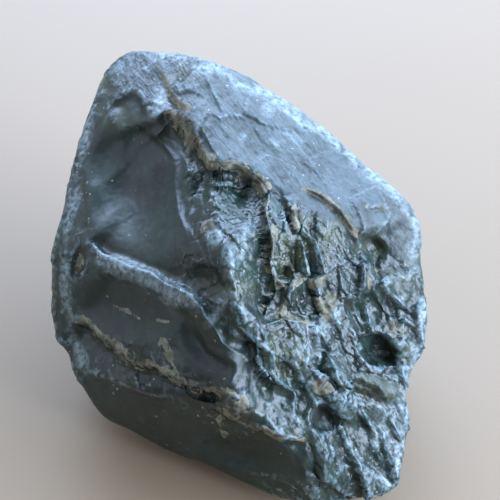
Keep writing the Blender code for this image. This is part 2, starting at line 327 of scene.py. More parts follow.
@dataclass(frozen=True)
class Ledge:
    """A step along a line on the front; the ground drops on the right of the way it is drawn."""

    line: tuple[Place, ...]
    drop: float
    riser: float
    run: float
    rind: float = 0.0
    fade: float = 3.0

    def close_to(self, places: np.ndarray) -> np.ndarray:
        """Picks the places near enough to the line to be measured against it."""
        line, reach = np.array(self.line), self.reach()
        return np.all((places > line.min(axis=0) - reach) & (places < line.max(axis=0) + reach), axis=1)

    def reach(self) -> float:
        """Gives how far from its line the ledge is still felt, in mm."""
        return self.riser + 4.0 * self.run

    def depth(self, places: np.ndarray) -> np.ndarray:
        """Gives the depth that the ledge takes off: a riser, then ground that comes back slowly.

        Args:
            places: Places on the front.

        Returns:
            The depth at each place, in mm.
        """
        depth = np.zeros(len(places))
        close = self.close_to(places)
        if not close.any():
            return depth
        side, along, length = beside_line(places[close], np.array(self.line))
        reach, fade = self.reach(), min(self.fade, length / 2.0)
        ends = ramp(0.0, fade, along) * ramp(0.0, fade, length - along)
        ground = np.exp(-np.maximum(side - self.riser, 0.0) / self.run)
        ground *= 1.0 - ramp(reach * 0.6, reach, side)
        depth[close] = self.drop * ends * ramp(0.0, self.riser, side) * ground
        return depth

    def rind_on(self, places: np.ndarray) -> np.ndarray:
        """Gives how much of the riser's rind shows at each place, from 0 to 1.

        Args:
            places: Places on the front.

        Returns:
            The rind at each place.
        """
        shown = np.zeros(len(places))
        close = self.close_to(places)
        if self.rind == 0.0 or not close.any():
            return shown
        side, along, length = beside_line(places[close], np.array(self.line))
        fade = min(1.5, length / 2.0)
        ends = ramp(0.0, fade, along) * ramp(0.0, fade, length - along)
        band = ramp(-0.9, 0.5, side) * (1.0 - ramp(self.riser * 0.4, self.riser * 0.9 + 0.3, side))
        shown[close] = self.rind * ends * band
        return shown


@dataclass(frozen=True)
class Oval:
    """A turned oval on the front: a hollow's outline, or a zone of one kind of surface."""

    centre: Place
    radii: Place
    turn: float = 0.0
    depth: float = 1.0
    power: float = 1.0

    def inside(self, places: np.ndarray) -> np.ndarray:
        """Gives depth at the oval's middle, falling to 0 at its rim and outside it.

        Args:
            places: Places on the front.

        Returns:
            The value at each place.
        """
        off = places - np.array(self.centre)
        c, s = math.cos(math.radians(self.turn)), math.sin(math.radians(self.turn))
        x = (off[:, 0] * c + off[:, 1] * s) / self.radii[0]
        y = (off[:, 1] * c - off[:, 0] * s) / self.radii[1]
        return self.depth * np.maximum(1.0 - x * x - y * y, 0.0) ** self.power


@dataclass(frozen=True)
class Flake:
    """A round flake struck off the block: the way it faces, its depth and its ball's radius."""

    azimuth: float
    elevation: float
    depth: float
    radius: float


@dataclass(frozen=True)
class Vein:
    """A thin band along a line on the front, in mm: a rusty vein, or an edge that is rubbed pale."""

    line: tuple[Place, ...]
    width: float

    def shown_on(self, places: np.ndarray) -> np.ndarray:
        """Gives 1 on the line, falling to 0 beside it, with a width that comes and goes.

        Args:
            places: Places on the front.

        Returns:
            The value at each place.
        """
        side, along, _ = beside_line(places, np.array(self.line))
        swell = noise(np.column_stack([along / 2.2, np.sign(side), along * 0.0]), 31)
        return 1.0 - np.clip(np.abs(side) / (self.width * (1.0 + 0.7 * swell)), 0.0, 1.0)


def flats_of_the_block() -> dict[str, Flat]:
    """Lists the flats that bound the block, the low dome of its underside among them.

    Returns:
        The flats by name, as degrees and mm from the heart.
    """
    flats = {
        "plateau": Flat(-1, 69.5, 18.6),
        "knob": Flat(180, 70, 23.8),
        "scoop": Flat(-155, 52, 20.0),
        "brow": Flat(-138, 35, 20.6),
        "face": Flat(-47, 40, 17.8),
        "foot": Flat(-114, 1, 26.9),
        "toe": Flat(-75, 15, 29.8),
        "left_upper": Flat(161, -12, 30.6),
        "left_lower": Flat(-173, -36, 32.2),
        "bottom_left": Flat(-130, -69, 28.0),
        "bottom": Flat(-87, -56, 35.4),
        "right": Flat(12, -8, 27.2),
        "right_lower": Flat(-3, -15, 29.7),
        "right_under": Flat(-7, -30, 33.6),
        "back_right": Flat(49, 2.5, 21.6),
        "back": Flat(66, 20, 27.9),
        "back_under": Flat(95, -22, 30.0),
        "back_corner": Flat(135, -5, 38.6),
        "top_left": Flat(115, 36, 43.0),
    }
    dome = {15: 26.3, 75: 26.6, 140: 26.0, 200: 26.4, 265: 26.7, 320: 26.1}
    for azimuth, reach in dome.items():
        flats[f"dome_{azimuth}"] = Flat(azimuth, -79.0, reach)
    return flats


def ledges_of_the_front() -> dict[str, Ledge]:
    """Lists the steps across the front, drawn as they lie on it.

    Returns:
        The ledges by name, each with its line, drop, riser and run in mm.
    """
    plateau_edge = (
        (-12.5, 24.5), (-11.6, 22.8), (-9.9, 21.1), (-8.3, 17.8), (-6.1, 15.2), (-3, 14.5),
        (-0.3, 12.9), (4, 10),
    )  # fmt: skip
    plateau_foot = (
        (-14, 21.8), (-12, 19.8), (-10.2, 17.7), (-9.3, 15.2), (-8.1, 13), (-6, 11),
        (-2.5, 10.2), (1.5, 8.8),
    )  # fmt: skip
    lip_lit = (
        (0, -18.5), (-5, -15.2), (-8.3, -10.2), (-12, -6.5), (-15.5, -3.8), (-20, -2.8),
        (-24, -1.3), (-27, 1.6),
    )  # fmt: skip
    brow_vein = (
        (-28.4, -10.7), (-26.4, -12.4), (-24.8, -14), (-22.3, -15.7), (-20.6, -18), (-18.5, -18.8),
        (-14, -19.8), (-11, -21.8), (-7.5, -22.3), (-3, -23.2),
    )  # fmt: skip
    return {
        "plateau_edge": Ledge(plateau_edge, 2.8, 2.8, 5, rind=1.0),
        "plateau_foot": Ledge(plateau_foot, 0.6, 1.0, 1.6),
        "top_band": Ledge(
            ((-14.4, 31), (-13.9, 28.9), (-12.9, 26.7), (-10.9, 24.8), (-8.9, 22.8)), 0.9, 1.1, 3, rind=1.0
        ),
        "plateau_groove": Ledge(((-8.3, 21), (-7.3, 18.5), (-6, 16.5), (-4.6, 15)), 0.7, 0.6, 1.5, rind=0.4),
        "plateau_crease": Ledge(((-7.2, 28.4), (-5.8, 26), (-4.6, 24), (-3.8, 21.8)), 0.5, 0.6, 2.5),
        "plateau_crack": Ledge(
            ((8.2, 10.9), (12, 9), (14.5, 7.2), (16.5, 4.6), (18.5, 2.6)), 0.9, 0.7, 2.5, rind=1.0
        ),
        "end_crack": Ledge(((18, 7.4), (20.5, 7.6), (23, 7.4)), 0.6, 0.5, 2, rind=0.8),
        "scoop_top": Ledge(
            ((-24.7, 22.3), (-22.8, 25), (-19.8, 26.4), (-17.7, 25.1), (-14.5, 22.3)), 1.0, 1.6, 9
        ),
        "scoop_side": Ledge(
            ((-10.5, 1.5), (-11.8, 6), (-12.2, 10.5), (-13, 14.5), (-16, 19)), 0.6, 1.0, 3
        ),
        "scoop_wall": Ledge(((-18.5, 21.8), (-16.4, 19.6), (-14, 17.2), (-12.4, 14)), 0.7, 0.8, 2.5),
        "lip_lit": Ledge(lip_lit, 1.5, 1.4, 5),
        "lip_foot": Ledge(
            ((-25, -2.8), (-21, -4.6), (-16, -6), (-13, -7.5), (-9.6, -11.2), (-6.4, -16), (-1, -19.6)),
            1.3,
            1.2,
            6,
        ),
        "brow_vein": Ledge(brow_vein, 2.0, 1.3, 4, rind=0.62),
        "band_foot": Ledge(
            ((-28.9, -19), (-24.8, -20.6), (-21.5, -21.8), (-16.5, -24), (-12, -25)), 0.8, 0.8, 5
        ),
        "foot_brow": Ledge(
            ((-6, -25.5), (-2.5, -27.5), (2, -29.2), (5, -30.7), (10, -31)), 1.7, 1.0, 5, rind=0.6
        ),
        "toe_top": Ledge(((11, -24.8), (14.5, -26.8), (18, -27.9), (21, -27.6)), 1.5, 0.9, 5),
        "face_rift": Ledge(
            ((3.6, 10), (3.2, 6), (3.9, 1), (3.2, -2.5), (3.8, -7), (2.8, -11.3)), 2.4, 0.9, 2.5, rind=0.7
        ),
        "fin_left": Ledge(((8.9, 8.4), (8.6, 5.4), (9.1, 2.6)), 1.2, 0.5, 1.2, rind=0.4),
        "fin_right": Ledge(((11.5, 7), (11.6, 4.2), (12, 1)), 0.9, 0.6, 1.4),
        "block_top": Ledge(((12, -13), (9, -12), (6, -11.4), (1.5, -12.5)), 1.6, 0.8, 3, rind=0.3),
        "block_foot": Ledge(((2, -14.5), (1.2, -18.5), (3.5, -22), (8, -23.8)), 2.0, 0.9, 4),
        "block_side": Ledge(((10.5, -19.5), (11.5, -16.5), (11.3, -13.5)), 1.1, 0.6, 2),
        "slab_left": Ledge(((5.5, -1.5), (7, -4.5), (5.8, -8), (5, -11)), 1.1, 0.6, 2.2, rind=0.7),
        "mid_step": Ledge(((13, -12), (11.4, -8), (12, -3.5)), 0.9, 1.0, 3, rind=0.9),
        "right_step": Ledge(((24.5, -19.5), (19, -19), (17, -13), (15, -8)), 1.8, 1.0, 5),
        "pocket_side": Ledge(((21, -6.5), (20, -2), (18.5, 0), (17, 3.4)), 2.2, 1.2, 4),
        "chip_edge": Ledge(((24.2, -10.2), (27.2, -13), (28.2, -15.6)), 1.0, 0.5, 2),
    }


def scars_of_the_front() -> dict[str, Oval]:
    """Lists the shallow hollows of the front, and the chips that stand out of it.

    Returns:
        The scars by name, with depths in mm; a chip's depth is below 0.
    """
    return {
        "scoop_bowl": Oval((-18, 10.5), (9, 13), 8, 3.2, 1.6),
        "scoop_left": Oval((-25, 16), (4, 6), -15, 0.7, 1.5),
        "scoop_shell": Oval((-8.5, 8.5), (2.6, 4.6), -20, 0.9, 1.2),
        "brow_bowl": Oval((-21, -10), (8.5, 5), -18, 1.2, 1.4),
        "lip_hollow": Oval((-6.5, -5.5), (5, 3), -20, 1.6, 1.3),
        "brow_facet": Oval((-6.5, -15.5), (6, 3.6), -35, 0.8, 1.3),
        "under_plateau": Oval((-1, 7), (6, 3.4), -25, 0.8, 1.4),
        "under_ridge": Oval((-9, 15), (5, 2), -50, 0.4, 1.2),
        "vein_cave": Oval((-7.4, -23.8), (3.4, 1.8), -8, 1.5, 1.0),
        "foot_bowl": Oval((-1, -33), (10, 3), -20, 1.0, 1.3),
        "dark_pocket": Oval((21.5, -16.8), (4.2, 3.0), -25, 2.0, 1.5),
        "upper_pocket": Oval((19.3, 0.4), (4.6, 2.8), -35, 1.7, 1.6),
        "middle_pocket": Oval((19.6, -9.6), (2.4, 3.8), 10, 1.1, 1.1),
        "glassy_scar": Oval((12.5, -27.4), (3.2, 2.6), -20, 1.1, 0.9),
        "left_chip": Oval((-28, -2), (1.1, 2.6), -20, 0.9, 0.9),
        "slab_chip": Oval((24.5, -13.6), (2.6, 3.0), -20, -0.8, 0.6),
        "olive_lens": Oval((11.6, -22.4), (2.8, 1.4), -25, -0.4, 1.0),
        "olive_bar": Oval((20.8, -22.8), (4.4, 1.9), -28, -0.9, 0.7),
        "rind_flake": Oval((-1.6, -25.4), (2.8, 2.2), -20, -0.4, 0.7),
        "pale_fin": Oval((7.7, 5.2), (0.8, 2.8), 0, -0.8, 0.6),
        "bright_lens": Oval((17, -25.4), (5, 1.8), -18, -0.7, 0.8),
        "mid_block": Oval((8.2, -16.5), (3.6, 4.4), -30, -0.7, 1.0),
        "strand_band": Oval((-1.6, -6.5), (11, 2.8), -66, -1.1, 1.0),
    }


def flakes_of_the_back() -> dict[str, Flake]:
    """Lists the flakes struck off where the front view doesn't reach, and at its right rim.

    Returns:
        The flakes by name.
    """
    return {
        "back_middle": Flake(95, -12, 2.6, 30),
        "back_foot": Flake(60, -30, 2.2, 18),
        "back_left": Flake(125, -25, 2.6, 22),
        "left_foot": Flake(155, -38, 2.0, 18),
        "right_foot": Flake(25, -30, 1.8, 16),
        "back_top": Flake(72, 4, 1.6, 15),
        "right_underside": Flake(-10, -38, 2.0, 15),
        "left_underside": Flake(178, -60, 1.6, 18),
        "back_right_side": Flake(40, -8, 1.4, 16),
        "right_notch": Flake(-27, -17, 1.5, 10),
    }


def zones_of_the_front() -> dict[Surface, tuple[Oval, ...]]:
    """Lists where the front's kinds of surface lie, apart from the splinters and ledges.

    Returns:
        The ovals of each kind of surface.
    """
    return {
        Surface.PLATEAU: (Oval((-18.6, 28.4), (6, 5.6), -30, 1.6),),
        Surface.GLASSY: (
            Oval((-18.5, 10), (10, 15), 8, 3.0),
            Oval((-19, -9.5), (11, 6), -15, 2.5),
            Oval((-6.5, -16.5), (8, 4.5), -35, 2.0),
            Oval((-14, -31), (20, 6), -28, 2.0),
            Oval((4, -34), (10, 3.5), -18, 2.0),
            Oval((12.5, -27.4), (3, 2.4), -20, 3.0),
            Oval((20.8, -22.8), (4.4, 1.9), -28, 1.5),
        ),
        Surface.SPECKLED: (
            Oval((-22, 27), (6, 7), 0, 1.5),
            Oval((-28, 10), (2.6, 20), 10, 1.4),
            Oval((-22, -20), (12, 4), -22, 1.4),
            Oval((20, -35), (12, 6), 15, 1.2),
            Oval((-2, -36), (14, 3), -18, 0.8),
        ),
        # Real pale bruises and chips, and painted highlights: the knob's sheen, the lit lip band above the
        # brow and the lit left rim.
        Surface.BRUISED_AND_LIT: (
            Oval((-21.5, 30.5), (2.4, 1.2), 30, 0.7),
            Oval((-15, 25), (1.4, 4.6), -14, 1.1),
            Oval((-9.4, 18), (0.8, 3.2), -25, 1.4),
            Oval((3.2, 23.4), (1.5, 2.2), -20, 0.75),
            Oval((-1, 18.8), (0.8, 1.2), 10, 0.9),
            Oval((4.2, 17.8), (1.2, 0.7), -35, 0.9),
            Oval((7.5, 19), (2.4, 1.4), -35, 0.6),
            Oval((-1.6, 0), (1.7, 7), -24, 0.85),
            Oval((-5.4, -9), (1.3, 5), -32, 0.9),
            Oval((9, -16.5), (3.6, 4.4), -30, 0.55),
            Oval((-27.3, 19.5), (1.1, 6), -14, 1.1),
            Oval((-29.3, 6), (1.1, 6), -8, 1.1),
            Oval((-30.2, -6), (1.1, 7), 6, 1.1),
            Oval((-28.3, -17), (1.2, 4.6), 20, 1.1),
            Oval((-16.5, -4.8), (9, 2.6), -15, 0.7),
            Oval((-20, -2.8), (6.2, 1.7), -12, 1.6),
            Oval((-12, -7.8), (4, 2), -15, 1.4),
            Oval((-6.2, 2.2), (1.6, 2.6), 0, 1.4),
            Oval((23, -27), (4, 6), -10, 0.45),
            Oval((14, -11), (1.8, 2.4), 0, 1.3),
            Oval((11.5, -12.6), (3.2, 1.2), -10, 1.2),
            Oval((22.5, -38), (1.6, 1.2), 20, 1.8),
            Oval((2.4, -20), (1.2, 3), 20, 1.2),
        ),
        Surface.RIND: (
            Oval((7.7, 5.2), (0.8, 2.6), 0, 1.6),
            Oval((11, -5.8), (1.2, 1.2), 0, 1.6),
            Oval((13.2, -9.4), (1.3, 2.6), -8, 1.6),
            Oval((4, -5.6), (1.0, 1.4), 20, 1.4),
            Oval((7.6, -4.8), (0.8, 1.2), -25, 1.6),
            Oval((5.3, -10.2), (1.2, 1.6), 10, 1.4),
            Oval((11.6, -22.4), (2.2, 1.0), -25, 1.8),
            Oval((19.8, -5.4), (0.9, 1.6), 10, 1.4),
            Oval((24.2, -12.8), (2.0, 2.0), -20, 0.95),
            Oval((-1.8, -25.8), (2.6, 2.4), -20, 0.8),
            Oval((-28, -2.4), (0.9, 2.2), -20, 1.1),
            Oval((-4.6, -29), (1.2, 2), 10, 0.9),
            Oval((4.6, 2.4), (1.0, 3.2), 0, 1.5),
            Oval((-7, 3.6), (1.4, 2.2), -20, 1.0),
        ),
        Surface.OLIVE: (
            Oval((-10.5, 29.5), (3.5, 2), -30, 1.0),
            Oval((-24, 28), (3, 3), 0, 1.2),
            Oval((-22, 22), (4, 3), 0, 0.8),
            Oval((7, -1), (4.4, 7), -25, 1.2),
            Oval((13, 2), (4, 6), -20, 1.0),
            Oval((20.5, 1), (4, 3), -35, 1.2),
            Oval((6, -17), (4, 6), -10, 1.2),
            Oval((20.8, -22.8), (4.6, 2.2), -28, 1.4),
            Oval((24, -4.4), (4, 1.4), -15, 1.2),
            Oval((25, -16), (3, 2), -10, 1.0),
            Oval((9, -31), (3, 2), -15, 1.0),
            Oval((-4, -6), (6, 3), -20, 0.8),
        ),
    }


def veins_of_the_front() -> tuple[Vein, ...]:
    """Lists the thin rusty bands on the front.

    Returns:
        The veins, with their half widths in mm.
    """
    return (
        Vein(((-28.2, -10.9), (-25, -13.6), (-20.8, -17), (-16.5, -18.5), (-10.5, -22), (-8, -22.6)), 0.95),
        Vein(((-13.8, -15), (-13, -18), (-11.2, -21.5)), 0.9),
        Vein(((-22.8, -9), (-20.5, -9.9), (-18.3, -11.2)), 0.45),
        Vein(((-15.6, -11.6), (-13.6, -12)), 0.5),
        Vein(((-9, -22.2), (-4.5, -22.4), (-2, -24)), 0.6),
    )


def rim_highlights_of_the_front() -> tuple[Vein, ...]:
    """Lists the outer edges that get a painted rim highlight, pale and cool as if they caught the light
    behind.

    Returns:
        The edges as thin bands.
    """
    return (
        Vein(
            ((-14.5, 31.4), (-5.5, 30), (7.1, 22.9), (16.6, 15.4), (22.7, 10.3), (26.8, 4.9), (27.3, -1)), 1.2
        ),
        Vein(((28, -9), (27.6, -14), (26.6, -20), (25.4, -26.4), (23.8, -36)), 1.0),
    )


@dataclass(frozen=True)
class StoneForm:
    """The stone's whole form as a field: below 0 inside it, in mm near its skin.

    A swell and a wander are each a height and a length in mm. The rays that look for the skin
    run from narrowest to widest, from the heart outwards.
    """

    view: FrontView
    heart: Size = (0.0, -2.0, 24.0)
    edge_round: float = 0.8
    narrowest: float = 14.0
    widest: float = 56.0
    ray_steps: int = 800
    swell: Place = (0.7, 16.0)
    wander: Place = (0.9, 7.0)
    flats: dict[str, Flat] = field(default_factory=flats_of_the_block)
    ledges: dict[str, Ledge] = field(default_factory=ledges_of_the_front)
    scars: dict[str, Oval] = field(default_factory=scars_of_the_front)
    flakes: dict[str, Flake] = field(default_factory=flakes_of_the_back)
    veins: tuple[Vein, ...] = field(default_factory=veins_of_the_front)
    painted_rim_highlights: tuple[Vein, ...] = field(default_factory=rim_highlights_of_the_front)
    zones: dict[Surface, tuple[Oval, ...]] = field(default_factory=zones_of_the_front)

    def block(self, points: np.ndarray) -> np.ndarray:
        """Gives the field of the block of flats alone.

        Args:
            points: Points in mm.

        Returns:
            The field at each point.
        """
        from_heart = points - np.array(self.heart)
        total = np.full(len(points), -1e3)
        for flat in self.flats.values():
            total = blend_max(total, flat.beyond(from_heart), 2.0 * self.edge_round)
        return total

    def flake_balls(self) -> Balls:
        """Finds the ball that each flake's hollow is part of.

        Returns:
            The centre and radius of each ball.
        """
        balls = []
        for flake in self.flakes.values():
            way = facing(flake.azimuth, flake.elevation)
            steps = np.linspace(self.narrowest, self.widest, self.ray_steps)
            outside = self.block(np.array(self.heart) + steps[:, None] * way) > 0.0
            skin = steps[np.argmax(outside)]
            balls.append((np.array(self.heart) + way * (skin - flake.depth + flake.radius), flake.radius))
        return balls

    def wandering(self, points: np.ndarray) -> tuple[np.ndarray, np.ndarray]:
        """Finds where points show on the front, shifted so that drawn lines wander.

        Args:
            points: Points in mm.

        Returns:
            Their shifted places, and their depth towards the eye.
        """
        places, depth = self.view.places(points)
        height, length = self.wander
        shift = np.stack([rough(points / length, 2, 21), rough(points / length, 2, 22)], axis=1)
        return places + height * shift, depth

    def worked_off(self, points: np.ndarray) -> np.ndarray:
        """Gives the depth that the ledges and hollows take off the front.

        Args:
            points: Points in mm.

        Returns:
            The depth at each point, in mm.
        """
        places, depth = self.wandering(points)
        total = np.zeros(len(points))
        for ledge in self.ledges.values():
            total += ledge.depth(places)
        for scar in self.scars.values():
            total += scar.inside(places)
        return total * self.view.on_front(depth)

    def struck(self, points: np.ndarray, balls: Balls) -> np.ndarray:
        """Gives the field of the block with its flakes struck off, cut off level where it rests.

        Args:
            points: Points in mm.
            balls: The flakes' balls.

        Returns:
            The field at each point.
        """
        total = self.block(points)
        for centre, radius in balls:
            total = blend_max(total, radius - np.linalg.norm(points - centre, axis=1), self.edge_round)
        return np.maximum(total, -points[:, 2])

    def field_at(self, points: np.ndarray, balls: Balls, share: float) -> np.ndarray:
        """Gives the whole form's field, with its swells and a share of the front's depth.

        Args:
            points: Points in mm.
            balls: The flakes' balls.
            share: How much of the ledges' and hollows' depth is taken off, from 0 to 1.

        Returns:
            The field at each point.
        """
        height, length = self.swell
        total = self.struck(points, balls) + height * rough(points / length, 2, 5)
        return np.maximum(total + share * self.worked_off(points), -points[:, 2])

    def surfaces(self, points: np.ndarray, normals: np.ndarray) -> dict[Surface, np.ndarray]:
        """Gives how much each kind of surface shows at each point, from 0 to 1.

        Args:
            points: Points of the skin, in mm.
            normals: The skin's normals there.

        Returns:
            One array for each kind.
        """
        places, depth = self.wandering(points)
        front = self.view.on_front(depth) * ramp(-0.3, 0.05, -normals @ self.view.axes()[2])
        right, up = places[:, 0], places[:, 1]
        below_plateau = 1.0 - ramp(9.5, 14.0, up + 0.55 * right)
        shown = {Surface.SPLINTERED: ramp(-9.0, -2.0, right + 0.35 * up) * below_plateau * front}
        plateau_edge = np.array(self.ledges["plateau_edge"].line)
        plateau_right = ramp(-0.5, 0.5, -beside_line(places, plateau_edge)[0])
        for kind, ovals in self.zones.items():
            inside = [oval.inside(places) for oval in ovals]
            if kind is Surface.PLATEAU:
                inside.append(plateau_right * (1.0 - below_plateau))
            if kind is Surface.RIND:
                inside += [ledge.rind_on(places) for ledge in self.ledges.values()]
                inside += [vein.shown_on(places) for vein in self.veins]
            # The bruised zone also takes the painted rim highlights along the outer edges.
            if kind is Surface.BRUISED_AND_LIT:
                inside += [1.2 * edge.shown_on(places) for edge in self.painted_rim_highlights]
            shown[kind] = np.clip(np.max(inside, axis=0), 0.0, 1.0) * front
        return shown


@dataclass(frozen=True)
class StoneSkin:
    """The fine mesh that is drawn over the form: a gridded cube blown up to it.

    Lengths are in mm. The rays lean towards the eye, so that the front gets the finer squares.
    """

    form: StoneForm
    grid: int
    halvings: int = 14
    settle_rounds: int = 11
    rounds_to_full_depth: int = 7
    probe: float = 0.05
    longest_step: float = 1.0
    least_steepness: float = 0.2
    towards_eye: float = 0.35

    def gridded_cube(self) -> bpy.types.Mesh:
        """Makes a cube of half side 1 with grid squares along each side.

        Returns:
            The cube's mesh.
        """
        shape = bmesh.new()
        bmesh.ops.create_cube(shape, size=2.0)
        bmesh.ops.subdivide_edges(shape, edges=shape.edges[:], cuts=self.grid - 1, use_grid_fill=True)
        mesh = bpy.data.meshes.new("jasper_skin")
        shape.to_mesh(mesh)
        shape.free()
        return mesh

    def to_skin(self, points: np.ndarray, balls: Balls, share: float) -> np.ndarray:
        """Moves points along the field's slope towards where it is 0, by one step at most.

        Args:
            points: Points near the skin, in mm.
            balls: The flakes' balls.
            share: How much of the front's depth is taken off, from 0 to 1.

        Returns:
            The moved points.
        """
        here = self.form.field_at(points, balls, share)
        rises = [self.form.field_at(points + self.probe * axis, balls, share) - here for axis in np.eye(3)]
        slope = np.stack(rises, axis=1) / self.probe
        steepness = np.maximum((slope * slope).sum(axis=1), self.least_steepness)
        step = np.clip(here / steepness, -self.longest_step, self.longest_step)
        return points - step[:, None] * slope

    def cast(self, directions: np.ndarray, balls: Balls) -> np.ndarray:
        """Finds the struck block's skin along each ray from the heart by halving.

        Args:
            directions: The rays' unit vectors.
            balls: The flakes' balls.

        Returns:
            Where each ray meets the skin, in mm.
        """
        heart = np.array(self.form.heart)
        near = np.full(len(directions), self.form.narrowest)
        far = np.full(len(directions), self.form.widest)
        for _ in range(self.halvings):
            middle = (near + far) / 2.0
            inside = self.form.struck(heart + directions * middle[:, None], balls) < 0.0
            near = np.where(inside, middle, near)
            far = np.where(inside, far, middle)
        return heart + directions * ((near + far) / 2.0)[:, None]

    def between_neighbours(self, points: np.ndarray, edges: np.ndarray) -> np.ndarray:
        """Moves each corner half way to the mean of its neighbours.

        Args:
            points: The corners, in mm.
            edges: The two corners of each edge.

        Returns:
            The moved corners.
        """
        total = np.zeros_like(points)
        for axis in range(3):
            for one, other in ((0, 1), (1, 0)):
                share = points[edges[:, other], axis]
                total[:, axis] += np.bincount(edges[:, one], share, len(points))
        count = np.bincount(edges.ravel(), minlength=len(points))[:, None]
        return (points + total / count) / 2.0

    def build(self) -> bpy.types.Object:
        """Draws the skin over the form and stores its zones.

        Returns:
            The skin as a mesh object, in metres.
        """
        mesh = self.gridded_cube()
        corners = np.empty(len(mesh.vertices) * 3)
        mesh.vertices.foreach_get("co", corners)
        edges = np.empty(len(mesh.edges) * 2, dtype=np.int32)
        mesh.edges.foreach_get("vertices", edges)
        edges = edges.reshape(-1, 2)
        spread = np.tan(corners.reshape(-1, 3) * math.pi / 4.0)
        directions = spread / np.linalg.norm(spread, axis=1)[:, None]
        directions -= self.form.view.axes()[2] * self.towards_eye
        directions /= np.linalg.norm(directions, axis=1)[:, None]
        balls = self.form.flake_balls()
        points = self.cast(directions, balls)
        for count in range(self.settle_rounds):
            share = min(1.0, (count + 1) / self.rounds_to_full_depth)
            points = self.to_skin(self.between_neighbours(points, edges), balls, share)
        points = self.to_skin(points, balls, 1.0)
        points[:, 2] = np.where(points[:, 2] < self.probe, 0.0, points[:, 2])
        mesh.vertices.foreach_set("co", (points * MM).ravel())
        mesh.update()
        mesh.shade_smooth()
        self.store(mesh, points)
        skin = bpy.data.objects.new("jasper_skin", mesh)
        bpy.context.scene.collection.objects.link(skin)
        return skin

    def store(self, mesh: bpy.types.Mesh, points: np.ndarray) -> None:
        """Stores the kinds of surface and the places on the front as attributes of the skin.

        Args:
            mesh: The skin's mesh.
            points: Its corners, in mm.
        """
        normals = np.empty(len(points) * 3)
        mesh.vertex_normals.foreach_get("vector", normals)
        for kind, values in self.form.surfaces(points, normals.reshape(-1, 3)).items():
            layer = mesh.attributes.new(kind.value, "FLOAT", "POINT")
            layer.data.foreach_set("value", values.astype(np.float32))
        places, depth = self.form.view.places(points)
        layer = mesh.attributes.new("front_place", "FLOAT_VECTOR", "POINT")
        layer.data.foreach_set("vector", np.column_stack([places, depth]).astype(np.float32).ravel())


